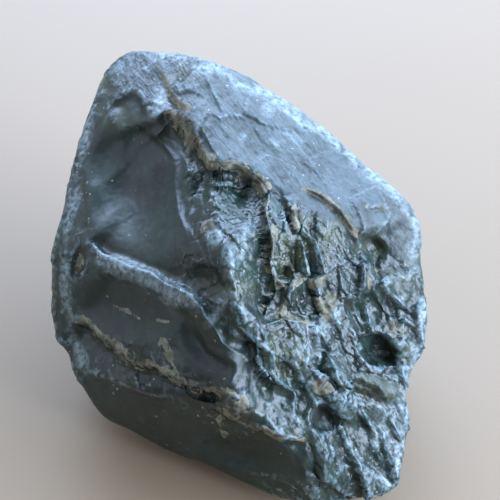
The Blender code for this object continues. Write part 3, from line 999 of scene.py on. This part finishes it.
@dataclass(frozen=True)
class BrokenRelief:
    """The fine break of the skin: splinters on the front's face, shards and grain all over.

    Lengths and heights are in mm, the slant is in degrees. A lean tips all planes one way, and
    a level one leaves them even.
    """

    splinter: Size = (10.0, 4.8, 9.0)
    splinter_height: float = 1.3
    splinter_lean: Size = (-1.0, -1.5, -1.0)
    sliver: Size = (4.2, 1.5, 4.0)
    sliver_height: float = 0.24
    slant: float = -62.0
    square_from: float = 0.5
    square_full: float = 0.85
    shard: Size = (7.5, 7.5, 7.5)
    shard_height: float = 0.3
    chip: Size = (2.2, 2.2, 2.2)
    chip_height: float = 0.18
    level_lean: Size = (-1.0, -1.0, -1.0)
    bend: float = 0.22
    level_share: float = 0.6
    grain: float = 1.2
    grain_height: float = 0.06
    rest_from: float = 0.05
    rest_fade: float = 1.5
    ridge_blurs: int = 6
    seed: float = 3.0

    def planes_group(self) -> bpy.types.GeometryNodeTree:
        """Makes the node group of broken planes, where each cell's plane has its own tilt and level.

        Returns:
            The group, from a place, a cell's size, a lean and a seed to a height.
        """
        group = bpy.data.node_groups.new("broken_planes", "GeometryNodeTree")
        for name in ("Place", "Cell", "Lean"):
            group.interface.new_socket(name, in_out="INPUT", socket_type="NodeSocketVector")
        group.interface.new_socket("Seed", in_out="INPUT", socket_type="NodeSocketFloat")
        group.interface.new_socket("Height", in_out="OUTPUT", socket_type="NodeSocketFloat")
        node = partial(add_node, group)
        given = node("NodeGroupInput").outputs
        terms = {0: given["Place"], 1: given["Cell"]}
        cells = node("ShaderNodeVectorMath", terms, operation="DIVIDE").outputs[0]
        noise_in = {"Vector": cells, "Scale": 1.0, "Detail": 1.0, "W": given["Seed"]}
        bend = node("ShaderNodeTexNoise", noise_in, noise_dimensions="4D").outputs["Color"]
        terms = {0: bend, 1: (self.bend,) * 3, 2: cells}
        bent = node("ShaderNodeVectorMath", terms, operation="MULTIPLY_ADD").outputs[0]
        seeded = node("ShaderNodeVectorMath", {0: bent, 1: given["Seed"]}, operation="ADD").outputs[0]
        cell = node("ShaderNodeTexVoronoi", {"Vector": seeded, "Scale": 1.0, "Randomness": 1.0})
        middle = cell.outputs["Position"]
        chance = node("ShaderNodeTexWhiteNoise", {"Vector": middle}).outputs
        terms = {0: chance["Color"], 1: (2.0, 2.0, 2.0), 2: given["Lean"]}
        tilt = node("ShaderNodeVectorMath", terms, operation="MULTIPLY_ADD").outputs[0]
        off = node("ShaderNodeVectorMath", {0: seeded, 1: middle}, operation="SUBTRACT").outputs[0]
        slope = node("ShaderNodeVectorMath", {0: off, 1: tilt}, operation="DOT_PRODUCT").outputs["Value"]
        level = node("ShaderNodeMath", {0: chance["Value"], 1: 0.5}, operation="SUBTRACT").outputs[0]
        terms = {0: level, 1: self.level_share, 2: slope}
        height = node("ShaderNodeMath", terms, operation="MULTIPLY_ADD").outputs[0]
        node("NodeGroupOutput", {"Height": height})
        return group

    def tree(self, material: bpy.types.Material) -> bpy.types.GeometryNodeTree:
        """Makes the tree that breaks the skin and stores how far each place stands proud.

        Args:
            material: The finish that the tree sets on the result.

        Returns:
            The tree, with an input for each height and the seed.
        """
        tree = bpy.data.node_groups.new("broken_relief", "GeometryNodeTree")
        tree.interface.new_socket("Geometry", in_out="INPUT", socket_type="NodeSocketGeometry")
        for name in self.inputs():
            tree.interface.new_socket(name, in_out="INPUT", socket_type="NodeSocketFloat")
        tree.interface.new_socket("Geometry", in_out="OUTPUT", socket_type="NodeSocketGeometry")
        node = partial(add_node, tree)
        given = node("NodeGroupInput").outputs
        place = node("GeometryNodeInputPosition").outputs[0]
        body = node("ShaderNodeVectorMath", {0: place, "Scale": 1.0 / MM}, operation="SCALE").outputs[0]
        height = self.broken_height(tree, body, given)
        up = node("ShaderNodeSeparateXYZ", {0: body}).outputs["Z"]
        fade = {"Value": up, "From Min": self.rest_from, "From Max": self.rest_fade, "To Max": MM}
        rest = node("ShaderNodeMapRange", fade, interpolation_type="SMOOTHSTEP").outputs[0]
        height = node("ShaderNodeMath", {0: height, 1: rest}, operation="MULTIPLY").outputs[0]
        normal = node("GeometryNodeInputNormal").outputs[0]
        offset = node("ShaderNodeVectorMath", {0: normal, "Scale": height}, operation="SCALE").outputs[0]
        moved = node("GeometryNodeSetPosition", {"Geometry": given["Geometry"], "Offset": offset}).outputs[0]
        real = node("GeometryNodeRealizeInstances", {0: self.store_ridges(tree, moved)}).outputs[0]
        dressed = node("GeometryNodeSetMaterial", {"Geometry": real, "Material": material}).outputs[0]
        node("NodeGroupOutput", {"Geometry": dressed})
        return tree

    def broken_height(
        self, tree: bpy.types.GeometryNodeTree, body: bpy.types.NodeSocket, given: bpy.types.NodeOutputs
    ) -> bpy.types.NodeSocket:
        """Sums the splinters, slivers, shards, chips and grain.

        Args:
            tree: The relief's tree.
            body: Places on the skin, in mm.
            given: The tree's inputs.

        Returns:
            The height of the relief, in mm.
        """
        node = partial(add_node, tree)
        planes = self.planes_group()
        front = node("GeometryNodeInputNamedAttribute", {"Name": "front_place"}, data_type="FLOAT_VECTOR")
        turn = {"Vector": front.outputs["Attribute"], "Angle": math.radians(-self.slant)}
        turned = node("ShaderNodeVectorRotate", turn, rotation_type="Z_AXIS").outputs[0]
        splintered, glassy, plateau = (
            node("GeometryNodeInputNamedAttribute", {"Name": kind.value}).outputs["Attribute"]
            for kind in (Surface.SPLINTERED, Surface.GLASSY, Surface.PLATEAU)
        )
        rugged = node("ShaderNodeMath", {0: glassy, 1: -0.8, 2: 1.0}, operation="MULTIPLY_ADD").outputs[0]
        uneven = node("ShaderNodeMath", {0: plateau, 1: -0.7, 2: rugged}, operation="MULTIPLY_ADD").outputs[0]
        square = self.squarely(tree, splintered)
        levels = (
            (turned, self.splinter, "Splinter height", square, self.splinter_lean),
            (turned, self.sliver, "Sliver height", square, self.splinter_lean),
            (body, self.shard, "Shard height", rugged, self.level_lean),
            (body, self.chip, "Chip height", uneven, self.level_lean),
        )
        total = 0.0
        for number, (where, cell, name, mask, lean) in enumerate(levels):
            seed = node("ShaderNodeMath", {0: given["Seed"], 1: 7.0 * number}, operation="ADD").outputs[0]
            cells = {"Place": where, "Cell": cell, "Lean": lean, "Seed": seed}
            broken = node("GeometryNodeGroup", cells, node_tree=planes).outputs["Height"]
            masked = node("ShaderNodeMath", {0: given[name], 1: mask}, operation="MULTIPLY").outputs[0]
            terms = {0: broken, 1: masked, 2: total}
            total = node("ShaderNodeMath", terms, operation="MULTIPLY_ADD").outputs[0]
        noise_in = {"Vector": body, "Scale": 1.0 / self.grain, "Detail": 2.0}
        grain = node("ShaderNodeTexNoise", noise_in).outputs[0]
        centred = node("ShaderNodeMath", {0: grain, 1: 0.5}, operation="SUBTRACT").outputs[0]
        terms = {0: centred, 1: given["Grain height"], 2: total}
        return node("ShaderNodeMath", terms, operation="MULTIPLY_ADD").outputs[0]

    def squarely(self, tree: bpy.types.GeometryNodeTree, mask: bpy.types.NodeSocket) -> bpy.types.NodeSocket:
        """Fades a mask out where the skin turns away from the front view.

        Args:
            tree: The relief's tree.
            mask: The mask from 0 to 1.

        Returns:
            The faded mask.
        """
        node = partial(add_node, tree)
        normal = node("GeometryNodeInputNormal").outputs[0]
        to_front = {0: normal, 1: Vector(-FrontView().axes()[2])}
        looks = node("ShaderNodeVectorMath", to_front, operation="DOT_PRODUCT").outputs["Value"]
        fade = {"Value": looks, "From Min": self.square_from, "From Max": self.square_full}
        faded = node("ShaderNodeMapRange", fade, interpolation_type="SMOOTHSTEP").outputs[0]
        return node("ShaderNodeMath", {0: faded, 1: mask}, operation="MULTIPLY").outputs[0]

    def store_ridges(
        self, tree: bpy.types.GeometryNodeTree, geometry: bpy.types.NodeSocket
    ) -> bpy.types.NodeSocket:
        """Stores how far each place stands proud of its surroundings, in mm, as "ridge".

        Args:
            tree: The relief's tree.
            geometry: The broken skin.

        Returns:
            The skin with the attribute.
        """
        node = partial(add_node, tree)
        place = node("GeometryNodeInputPosition").outputs[0]
        blur_in = {"Value": place, "Iterations": self.ridge_blurs}
        blurred = node("GeometryNodeBlurAttribute", blur_in, data_type="FLOAT_VECTOR").outputs[0]
        proud = node("ShaderNodeVectorMath", {0: place, 1: blurred}, operation="SUBTRACT").outputs[0]
        normal = node("GeometryNodeInputNormal").outputs[0]
        along = node("ShaderNodeVectorMath", {0: proud, 1: normal}, operation="DOT_PRODUCT").outputs["Value"]
        in_mm = node("ShaderNodeMath", {0: along, 1: 1.0 / MM}, operation="MULTIPLY").outputs[0]
        kept = {"Geometry": geometry, "Name": "ridge", "Value": in_mm}
        return node("GeometryNodeStoreNamedAttribute", kept, data_type="FLOAT", domain="POINT").outputs[0]

    def inputs(self) -> dict[str, float]:
        """Gives the value of each of the tree's inputs.

        Returns:
            The heights and the seed, by their names.
        """
        return {
            "Splinter height": self.splinter_height,
            "Sliver height": self.sliver_height,
            "Shard height": self.shard_height,
            "Chip height": self.chip_height,
            "Grain height": self.grain_height,
            "Seed": self.seed,
        }

    def break_up(self, skin: bpy.types.Object, material: bpy.types.Material) -> bpy.types.Object:
        """Breaks the skin and makes the result a plain mesh.

        Args:
            skin: The smooth skin, which is removed.
            material: Its finish.

        Returns:
            The stone as one plain mesh object.
        """
        tree, values = self.tree(material), self.inputs()
        modifier = skin.modifiers.new("broken_relief", "NODES")
        modifier.node_group = tree
        for item in tree.interface.items_tree:
            if item.in_out == "INPUT" and item.name in values:
                modifier[item.identifier] = values[item.name]
        evaluated = skin.evaluated_get(bpy.context.evaluated_depsgraph_get())
        mesh = bpy.data.meshes.new_from_object(evaluated)
        mesh.name = "green_jasper_stone"
        skin.modifiers.remove(modifier)
        bpy.data.objects.remove(skin, do_unlink=True)
        stone = bpy.data.objects.new("green_jasper_stone", mesh)
        bpy.context.scene.collection.objects.link(stone)
        return stone


@dataclass(frozen=True)
class SkinReads:
    """What a finish reads from the skin: its places in mm, its zones and how proud it stands."""

    tree: bpy.types.NodeTree
    place: bpy.types.NodeSocket
    front: bpy.types.NodeSocket
    ridge: bpy.types.NodeSocket
    zone: dict[Surface, bpy.types.NodeSocket]

    def product(self, *factors: Factor) -> bpy.types.NodeSocket:
        """Multiplies factors.

        Args:
            *factors: Each an output, a number, or an output with the slope and start of a line.

        Returns:
            Their product.
        """
        node = partial(add_node, self.tree, "ShaderNodeMath")
        total = None
        for factor in factors:
            if isinstance(factor, tuple):
                factor = node(dict(enumerate(factor)), operation="MULTIPLY_ADD").outputs[0]
            if total is not None:
                factor = node({0: total, 1: factor}, operation="MULTIPLY").outputs[0]
            total = factor
        return total

    def covered(self, ground: Paint, *layers: tuple[bpy.types.NodeSocket, Paint]) -> bpy.types.NodeSocket:
        """Lays colours over a ground.

        Args:
            ground: The colour underneath.
            *layers: How much of each colour shows, and the colour, the lowest first.

        Returns:
            The colour on top.
        """
        for amount, paint in layers:
            ground = add_node(
                self.tree, "ShaderNodeMix", {0: amount, 6: ground, 7: paint}, data_type="RGBA"
            ).outputs[2]
        return ground

    def clouds(
        self, place: bpy.types.NodeSocket, size: float, low: float, high: float
    ) -> bpy.types.NodeSocket:
        """Gives patches of 0 and 1 with soft edges.

        Args:
            place: The places that the patches lie on.
            size: About how far one patch is from the next.
            low: The noise where a patch begins.
            high: The noise where it is in full.

        Returns:
            The patches.
        """
        noise_in = {"Vector": place, "Scale": 1.0 / size, "Detail": 5.0, "Roughness": 0.6}
        cloud = add_node(self.tree, "ShaderNodeTexNoise", noise_in).outputs[0]
        ranged = {"Value": cloud, "From Min": low, "From Max": high}
        return add_node(self.tree, "ShaderNodeMapRange", ranged).outputs[0]

    def stretched(self, degrees: float, per_mm: Size) -> bpy.types.NodeSocket:
        """Turns the places on the front and stretches them.

        Args:
            degrees: How far they are turned.
            per_mm: Units to a mm, along the slant, across it and in depth.

        Returns:
            The places, in units.
        """
        node = partial(add_node, self.tree)
        turn = {"Vector": self.front, "Angle": math.radians(degrees)}
        slanted = node("ShaderNodeVectorRotate", turn, rotation_type="Z_AXIS").outputs[0]
        return node("ShaderNodeVectorMath", {0: slanted, 1: per_mm}, operation="MULTIPLY").outputs[0]


@dataclass(frozen=True)
class JasperFinish:
    """Green jasper, a dense quartz stone broken by hand.

    Fresh conchoidal breaks are smooth and waxy, older ones satin, and iron has stained the
    cracks: dark green-black glass and beige rinds, with a blue-grey painted sky reflection and painted fold
    shade on the plateau.
    Sizes are the spacings of each pattern in mm. The dust and the flecks are drawn a little
    coarser than on the stone, so that they show.
    """

    deep: str = "#171e1d"
    body: str = "#22332c"
    pale: str = "#3a5148"
    # The next two are painted light on the plateau: a darker painted fold shade and a blue-grey painted sky
    # reflection.
    painted_fold_shade: str = "#2d3835"
    painted_sky_sheen: str = "#506063"
    # The next two are partly painted light: the pale blue-grey is crushed stone on proud ridges and a painted
    # edge highlight; the bruise colour is real pale bruising and a painted sheen on the knob, lip and rims.
    wear_and_highlight: str = "#7c959c"
    bruise_and_highlight: str = "#9fb3b8"
    olive: str = "#41482a"
    beige: str = "#848271"
    moss: str = "#5b5c4b"
    rust: str = "#3d392e"
    crest: str = "#a3a091"
    fleck: str = "#a5a398"
    ior: float = 1.54
    gloss: float = 0.44
    satin: float = 0.42
    dull: float = 0.7
    broken_gloss: Place = (0.2, 0.4)
    body_size: float = 9.0
    pale_size: float = 3.5
    olive_size: float = 2.2
    dust_size: float = 1.4
    crushed_size: float = 0.9
    ridge_from: float = 0.035
    ridge_full: float = 0.11
    fray_size: float = 1.1
    rind_chip: float = 1.3
    rind_crust: float = 1.9
    stain_size: float = 2.6
    fleck_size: float = 0.7
    gloss_size: float = 2.0
    grit_size: float = 0.8
    bump_height: float = 0.14
    fold_turn: float = 62.0
    facet_turn: float = 52.0
    streak_turn: float = 54.0

    def material(self) -> bpy.types.Material:
        """Makes the jasper material.

        Returns:
            The material, reading Object coordinates and the skin's attributes.
        """
        material = bpy.data.materials.new("green_jasper")
        material.use_nodes = True
        tree = material.node_tree
        node = partial(add_node, tree)
        shader = tree.nodes["Principled BSDF"]
        shader.inputs["IOR"].default_value = self.ior
        coords = node("ShaderNodeTexCoord").outputs["Object"]
        stored = partial(node, "ShaderNodeAttribute")
        skin = SkinReads(
            tree=tree,
            place=node("ShaderNodeVectorMath", {0: coords, "Scale": 1.0 / MM}, operation="SCALE").outputs[0],
            front=stored(attribute_name="front_place").outputs["Vector"],
            ridge=stored(attribute_name="ridge").outputs["Fac"],
            zone={kind: stored(attribute_name=kind.value).outputs["Fac"] for kind in Surface},
        )
        colour, rind = self.rinds(skin, self.ridge_wear_and_highlights(skin, self.body_colour(skin)))
        tree.links.new(self.flecks(skin, colour), shader.inputs["Base Color"])
        tree.links.new(self.roughness(skin, rind), shader.inputs["Roughness"])
        tree.links.new(self.bump(skin), shader.inputs["Normal"])
        return material

    def body_colour(self, skin: SkinReads) -> bpy.types.NodeSocket:
        """Mottles the dark body, greener and paler where it is splintered, and paints the top with painted
        fold shade and a blue-grey painted sky reflection.

        Args:
            skin: What the finish reads.

        Returns:
            The colour.
        """
        zone, place = skin.zone, skin.place
        # Painted light on the plateau: painted fold shade streaked with a painted blue-grey sky reflection.
        folds = skin.stretched(self.fold_turn, (0.12, 0.42, 0.2))
        painted_sky_sheen = skin.covered(linear(self.painted_fold_shade), (skin.clouds(folds, 1.0, 0.34, 0.66), linear(self.painted_sky_sheen)))
        greener = (zone[Surface.SPLINTERED], 0.4, 0.2)
        patches = skin.product(skin.clouds(place, self.pale_size, 0.42, 0.7), greener)
        olive = skin.product(zone[Surface.OLIVE], skin.clouds(place, self.olive_size, 0.35, 0.6), 0.85)
        return skin.covered(
            linear(self.deep),
            (skin.clouds(place, self.body_size, 0.3, 0.7), linear(self.body)),
            (patches, linear(self.pale)),
            # Lays the painted sky reflection and fold shade over the plateau.
            (skin.product(zone[Surface.PLATEAU], 0.7), painted_sky_sheen),
            (olive, linear(self.olive)),
        )

    def ridge_wear_and_highlights(self, skin: SkinReads, colour: bpy.types.NodeSocket) -> bpy.types.NodeSocket:
        """Pales the broken ridges and bruises, where the stone is crushed and scatters light, and paints
        highlights: proud ridges get a painted edge highlight, and the bruised zone a painted sheen on the
        knob, lip and rims.

        Args:
            skin: What the finish reads.
            colour: The colour underneath.

        Returns:
            The colour with its wear and painted highlights; the ridges' share is weaker on the back, where
            the skin is coarser.
        """
        node = partial(add_node, skin.tree)
        glassy = skin.zone[Surface.GLASSY]
        ridges = {"Value": skin.ridge, "From Min": self.ridge_from, "From Max": self.ridge_full}
        proud = node("ShaderNodeMapRange", ridges).outputs[0]
        depth = node("ShaderNodeSeparateXYZ", {0: skin.front}).outputs["Z"]
        fade = {"Value": depth, "From Min": -14.0, "From Max": -4.0, "To Min": 0.3}
        seen = node("ShaderNodeMapRange", fade).outputs[0]
        crushed = skin.clouds(skin.place, self.crushed_size, 0.4, 0.6)
        # Proud ridges pale: crushed stone, partly a painted highlight where edges would catch the light.
        wear_and_highlight = skin.product(proud, crushed, (glassy, -0.7, 0.7), seen)
        dust = skin.product(skin.clouds(skin.place, self.dust_size, 0.56, 0.74), (glassy, -0.15, 0.22))
        bruised = skin.clouds(skin.place, self.crushed_size, 0.34, 0.64)
        return skin.covered(
            colour,
            (wear_and_highlight, linear(self.wear_and_highlight)),
            (dust, linear(self.wear_and_highlight)),
            # Real bruises, and painted highlights on the knob, the lip and the outer rims.
            (skin.product(skin.zone[Surface.BRUISED_AND_LIT], bruised, 0.72), linear(self.bruise_and_highlight)),
        )

    def rinds(
        self, skin: SkinReads, colour: bpy.types.NodeSocket
    ) -> tuple[bpy.types.NodeSocket, bpy.types.NodeSocket]:
        """Lays the beige, olive and rusty rind on the risers and veins, with a broken outline.

        Args:
            skin: What the finish reads.
            colour: The colour underneath.

        Returns:
            The colour with its rinds, and how much rind shows.
        """
        node = partial(add_node, skin.tree)
        zone = skin.zone[Surface.RIND]
        noise_in = {"Vector": skin.place, "Scale": 1.0 / self.fray_size, "Detail": 5.0, "Roughness": 0.65}
        fray = node("ShaderNodeTexNoise", noise_in).outputs
        terms = {0: fray["Color"], 1: (0.8, 0.8, 0.8), 2: skin.place}
        bent = node("ShaderNodeVectorMath", terms, operation="MULTIPLY_ADD").outputs[0]
        chips = node("ShaderNodeTexVoronoi", {"Vector": bent, "Scale": 1.0 / self.rind_chip}).outputs["Color"]
        chance = node("ShaderNodeSeparateColor", {0: chips}).outputs[0]
        edge = node("ShaderNodeMath", {0: zone, 1: fray[0]}, operation="ADD").outputs[0]
        edge = node("ShaderNodeMath", {0: chance, 1: 0.8, 2: edge}, operation="MULTIPLY_ADD").outputs[0]
        cut = node("ShaderNodeMapRange", {"Value": edge, "From Min": 1.36, "From Max": 1.42}).outputs[0]
        near = node("ShaderNodeMapRange", {"Value": zone, "From Min": 0.1, "From Max": 0.25}).outputs[0]
        shown = skin.product(cut, near)
        noise_in = {"Vector": skin.place, "Scale": 1.0 / self.stain_size, "Detail": 4.0}
        tones = node("ShaderNodeValToRGB", {"Fac": node("ShaderNodeTexNoise", noise_in).outputs[0]})
        low, high = tones.color_ramp.elements
        low.position, low.color = 0.34, linear(self.rust)
        high.position, high.color = 0.64, linear(self.beige)
        tones.color_ramp.elements.new(0.46).color = linear(self.moss)
        crust_in = {"Vector": bent, "Scale": 1.0 / self.rind_crust}
        borders = node("ShaderNodeTexVoronoi", crust_in, feature="DISTANCE_TO_EDGE").outputs["Distance"]
        rise = {"Value": borders, "From Min": 0.1, "From Max": 0.02, "To Max": 0.35}
        crest = node("ShaderNodeMapRange", rise).outputs[0]
        crusted = skin.covered(tones.outputs[0], (crest, linear(self.crest)))
        return skin.covered(colour, (shown, crusted)), shown

    def flecks(self, skin: SkinReads, colour: bpy.types.NodeSocket) -> bpy.types.NodeSocket:
        """Scatters pale flecks of stone dust and small bruises, up to 0.4 mm across.

        Args:
            skin: What the finish reads.
            colour: The colour underneath.

        Returns:
            The colour with its flecks.
        """
        node = partial(add_node, skin.tree)
        noise_in = {"Vector": skin.place, "Scale": 2.5, "Detail": 2.0}
        terms = {0: node("ShaderNodeTexNoise", noise_in).outputs["Color"], 1: HALF, 2: skin.place}
        bent = node("ShaderNodeVectorMath", terms, operation="MULTIPLY_ADD").outputs[0]
        cells = node("ShaderNodeTexVoronoi", {"Vector": bent, "Scale": 1.0 / self.fleck_size}).outputs
        chance = node("ShaderNodeSeparateColor", {0: cells["Color"]}).outputs
        size = skin.product((chance[1], 0.25, 0.05))
        wanted = skin.product((skin.zone[Surface.SPECKLED], 0.2, 0.04))
        dot = node("ShaderNodeMath", {0: cells["Distance"], 1: size}, operation="LESS_THAN").outputs[0]
        picked = node("ShaderNodeMath", {0: chance[0], 1: wanted}, operation="LESS_THAN").outputs[0]
        return skin.covered(colour, (skin.product(dot, picked, 0.65), linear(self.fleck)))

    def roughness(self, skin: SkinReads, rind: bpy.types.NodeSocket) -> bpy.types.NodeSocket:
        """Gives waxy scars, a satin plateau and dull rinds.

        Args:
            skin: What the finish reads.
            rind: How much rind shows.

        Returns:
            The roughness.
        """
        node = partial(add_node, skin.tree)
        noise_in = {"Vector": skin.place, "Scale": 1.0 / self.gloss_size, "Detail": 4.0}
        cloud = node("ShaderNodeTexNoise", noise_in).outputs[0]
        low, high = self.broken_gloss
        spread = {"Value": cloud, "From Min": 0.3, "From Max": 0.7, "To Min": low, "To Max": high}
        varied = node("ShaderNodeMapRange", spread).outputs[0]
        finishes = (
            (skin.zone[Surface.GLASSY], self.gloss),
            (skin.zone[Surface.PLATEAU], self.satin),
            (rind, self.dull),
        )
        for amount, value in finishes:
            varied = node("ShaderNodeMix", {0: amount, 2: varied, 3: value}, data_type="FLOAT").outputs[0]
        return varied

    def facets(self, skin: SkinReads) -> bpy.types.NodeSocket:
        """Turns the normal of each small broken facet its own way: slivers on the face, chips elsewhere.

        Args:
            skin: What the finish reads.

        Returns:
            The normal.
        """
        node = partial(add_node, skin.tree)
        normal = node("ShaderNodeNewGeometry").outputs["Normal"]
        rugged = skin.product((skin.zone[Surface.GLASSY], -0.6, 1.0))
        slanted = skin.stretched(self.facet_turn, (1.0, 1.0, 1.0))
        levels = (
            (slanted, (3.0, 1.1, 3.0), skin.zone[Surface.SPLINTERED], 0.24),
            (skin.place, (0.45, 0.45, 0.45), skin.zone[Surface.SPLINTERED], 0.22),
            (skin.place, (0.4, 0.4, 0.4), skin.zone[Surface.PLATEAU], 0.14),
            (skin.place, (1.1, 1.1, 1.1), rugged, 0.2),
        )
        for where, size, mask, strength in levels:
            bend = node("ShaderNodeTexNoise", {"Vector": where, "Scale": 0.7, "Detail": 2.0}).outputs["Color"]
            terms = {0: bend, 1: HALF, 2: where}
            bent = node("ShaderNodeVectorMath", terms, operation="MULTIPLY_ADD").outputs[0]
            in_cells = node("ShaderNodeVectorMath", {0: bent, 1: size}, operation="DIVIDE").outputs[0]
            cells = node("ShaderNodeTexVoronoi", {"Vector": in_cells, "Scale": 1.0}).outputs["Color"]
            turned = node("ShaderNodeVectorMath", {0: cells, 1: HALF}, operation="SUBTRACT").outputs[0]
            tilt = {0: turned, "Scale": skin.product(mask, strength)}
            tilted = node("ShaderNodeVectorMath", tilt, operation="SCALE").outputs[0]
            normal = node("ShaderNodeVectorMath", {0: normal, 1: tilted}, operation="ADD").outputs[0]
        return node("ShaderNodeVectorMath", {0: normal}, operation="NORMALIZE").outputs[0]

    def bump(self, skin: SkinReads) -> bpy.types.NodeSocket:
        """Adds what is finer than the mesh: streaks down the plateau, strands on the face, and grit.

        Args:
            skin: What the finish reads.

        Returns:
            The normal.
        """
        node = partial(add_node, skin.tree)
        streaks = skin.stretched(self.streak_turn, (0.2, 0.8, 0.3))
        strands = skin.stretched(self.streak_turn, (0.25, 1.3, 0.4))
        rugged = (skin.zone[Surface.GLASSY], -0.6, 1.0)
        grit = {"Vector": skin.place, "Scale": 1.0 / self.grit_size, "Detail": 5.0, "Roughness": 0.6}
        combed = {"Vector": strands, "Scale": 1.0, "Detail": 3.0, "Distortion": 0.4}
        drawn = {"Vector": streaks, "Scale": 1.0, "Detail": 6.0, "Roughness": 0.6}
        noises = (
            (grit, rugged, 1.0),
            (combed, skin.zone[Surface.SPLINTERED], 1.5),
            (drawn, skin.zone[Surface.PLATEAU], 4.2),
        )
        height = 0.0
        for noise_in, mask, weight in noises:
            masked = skin.product(node("ShaderNodeTexNoise", noise_in).outputs[0], mask)
            terms = {0: masked, 1: weight, 2: height}
            height = node("ShaderNodeMath", terms, operation="MULTIPLY_ADD").outputs[0]
        raised = {"Height": height, "Strength": 0.6, "Distance": self.bump_height * MM}
        return node("ShaderNodeBump", raised | {"Normal": self.facets(skin)}).outputs[0]


@dataclass(frozen=True)
class SoftLight:
    """A soft panel of light: where it hangs, its size in metres, its radiance and colour."""

    azimuth: float
    elevation: float
    distance: float
    width: float
    height: float
    radiance: float
    colour: str

    def place(self, name: str, aim: Vector) -> bpy.types.Object:
        """Hangs the panel so that it faces a point.

        Args:
            name: The light's name.
            aim: The point it faces, in metres.

        Returns:
            The light.
        """
        data = bpy.data.lights.new(name, "AREA")
        data.shape = "RECTANGLE"
        data.size = self.width
        data.size_y = self.height
        data.energy = self.radiance * math.pi * self.width * self.height
        data.color = linear(self.colour)[:3]
        light = bpy.data.objects.new(name, data)
        way = Vector(facing(self.azimuth, self.elevation))
        light.location = aim + way * self.distance
        light.rotation_mode = "QUATERNION"
        light.rotation_quaternion = (-way).to_track_quat("-Z", "Y")
        bpy.context.scene.collection.objects.link(light)
        return light


@dataclass(frozen=True)
class Studio:
    """A plain pale floor and soft light, with a wide cool panel behind on the right."""

    view: FrontView
    floor_side: float = 3.0
    floor_colour: str = "#98846c"
    window: SoftLight = SoftLight(66.0, 29.0, 0.6, 1.1, 0.6, 7.0, "#bcd6ff")
    right_window: SoftLight = SoftLight(-14.0, 24.0, 0.6, 0.5, 0.42, 14.0, "#cfe2ff")
    back_window: SoftLight = SoftLight(110.0, 36.0, 0.6, 0.4, 0.36, 6.8, "#bcd6ff")
    left_room: SoftLight = SoftLight(172.0, 34.0, 0.6, 1.0, 0.6, 1.0, "#d5dff0")
    sky: str = "#b4bcc6"
    sky_strength: float = 0.6

    def floor(self) -> bpy.types.Object:
        """Lays the floor at the height that the stone rests on.

        Returns:
            The floor, which stays out of the part.
        """
        shape = bmesh.new()
        bmesh.ops.create_grid(shape, x_segments=1, y_segments=1, size=self.floor_side / 2.0)
        mesh = bpy.data.meshes.new("pale_floor")
        shape.to_mesh(mesh)
        shape.free()
        paint = bpy.data.materials.new("pale_floor_paint")
        paint.use_nodes = True
        shader = paint.node_tree.nodes["Principled BSDF"]
        shader.inputs["Base Color"].default_value = linear(self.floor_colour)
        shader.inputs["Roughness"].default_value = 0.6
        mesh.materials.append(paint)
        floor = bpy.data.objects.new("pale_floor", mesh)
        bpy.context.scene.collection.objects.link(floor)
        return floor

    def light(self) -> None:
        """Hangs the panels and sets the room's own dim light."""
        aim = Vector(self.view.aim) * MM
        self.window.place("window_panel", aim)
        self.right_window.place("right_panel", aim)
        self.back_window.place("back_panel", aim)
        self.left_room.place("left_panel", aim)
        world = bpy.data.worlds.new("studio_room")
        world.use_nodes = True
        room = world.node_tree.nodes["Background"]
        room.inputs["Color"].default_value = linear(self.sky)
        room.inputs["Strength"].default_value = self.sky_strength
        bpy.context.scene.world = world
        bpy.context.scene.view_settings.view_transform = "Standard"

    def build(self) -> None:
        """Sets up the floor, the light and the camera."""
        self.floor()
        self.light()
        self.view.camera()


@dataclass(frozen=True)
class JasperStone:
    """The stone: its form, its skin, its broken relief and its finish."""

    view: FrontView
    finish: JasperFinish = JasperFinish()
    relief: BrokenRelief = BrokenRelief()
    grid: int = 125
    quick_grid: int = 90

    def build(self) -> bpy.types.Object:
        """Builds the stone and sets it in the frame in place of its plain solid.

        Returns:
            The finished stone.
        """
        grid = self.grid
        skin = StoneSkin(StoneForm(self.view), grid).build()
        stone = self.relief.break_up(skin, self.finish.material())
        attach(stone, "root")
        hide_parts("jasper_stone")
        return stone


def main() -> None:
    """Builds the stone and the studio, and reports each piece."""
    logging.basicConfig(level=logging.INFO, format="%(name)s: %(message)s")
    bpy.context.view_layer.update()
    view = FrontView()
    stone = JasperStone(view).build()
    log.info("stone: %d corners, %d faces", len(stone.data.vertices), len(stone.data.polygons))
    Studio(view).build()
    log.info("studio: floor, four panels and camera")


if __name__ == "__main__":
    main()
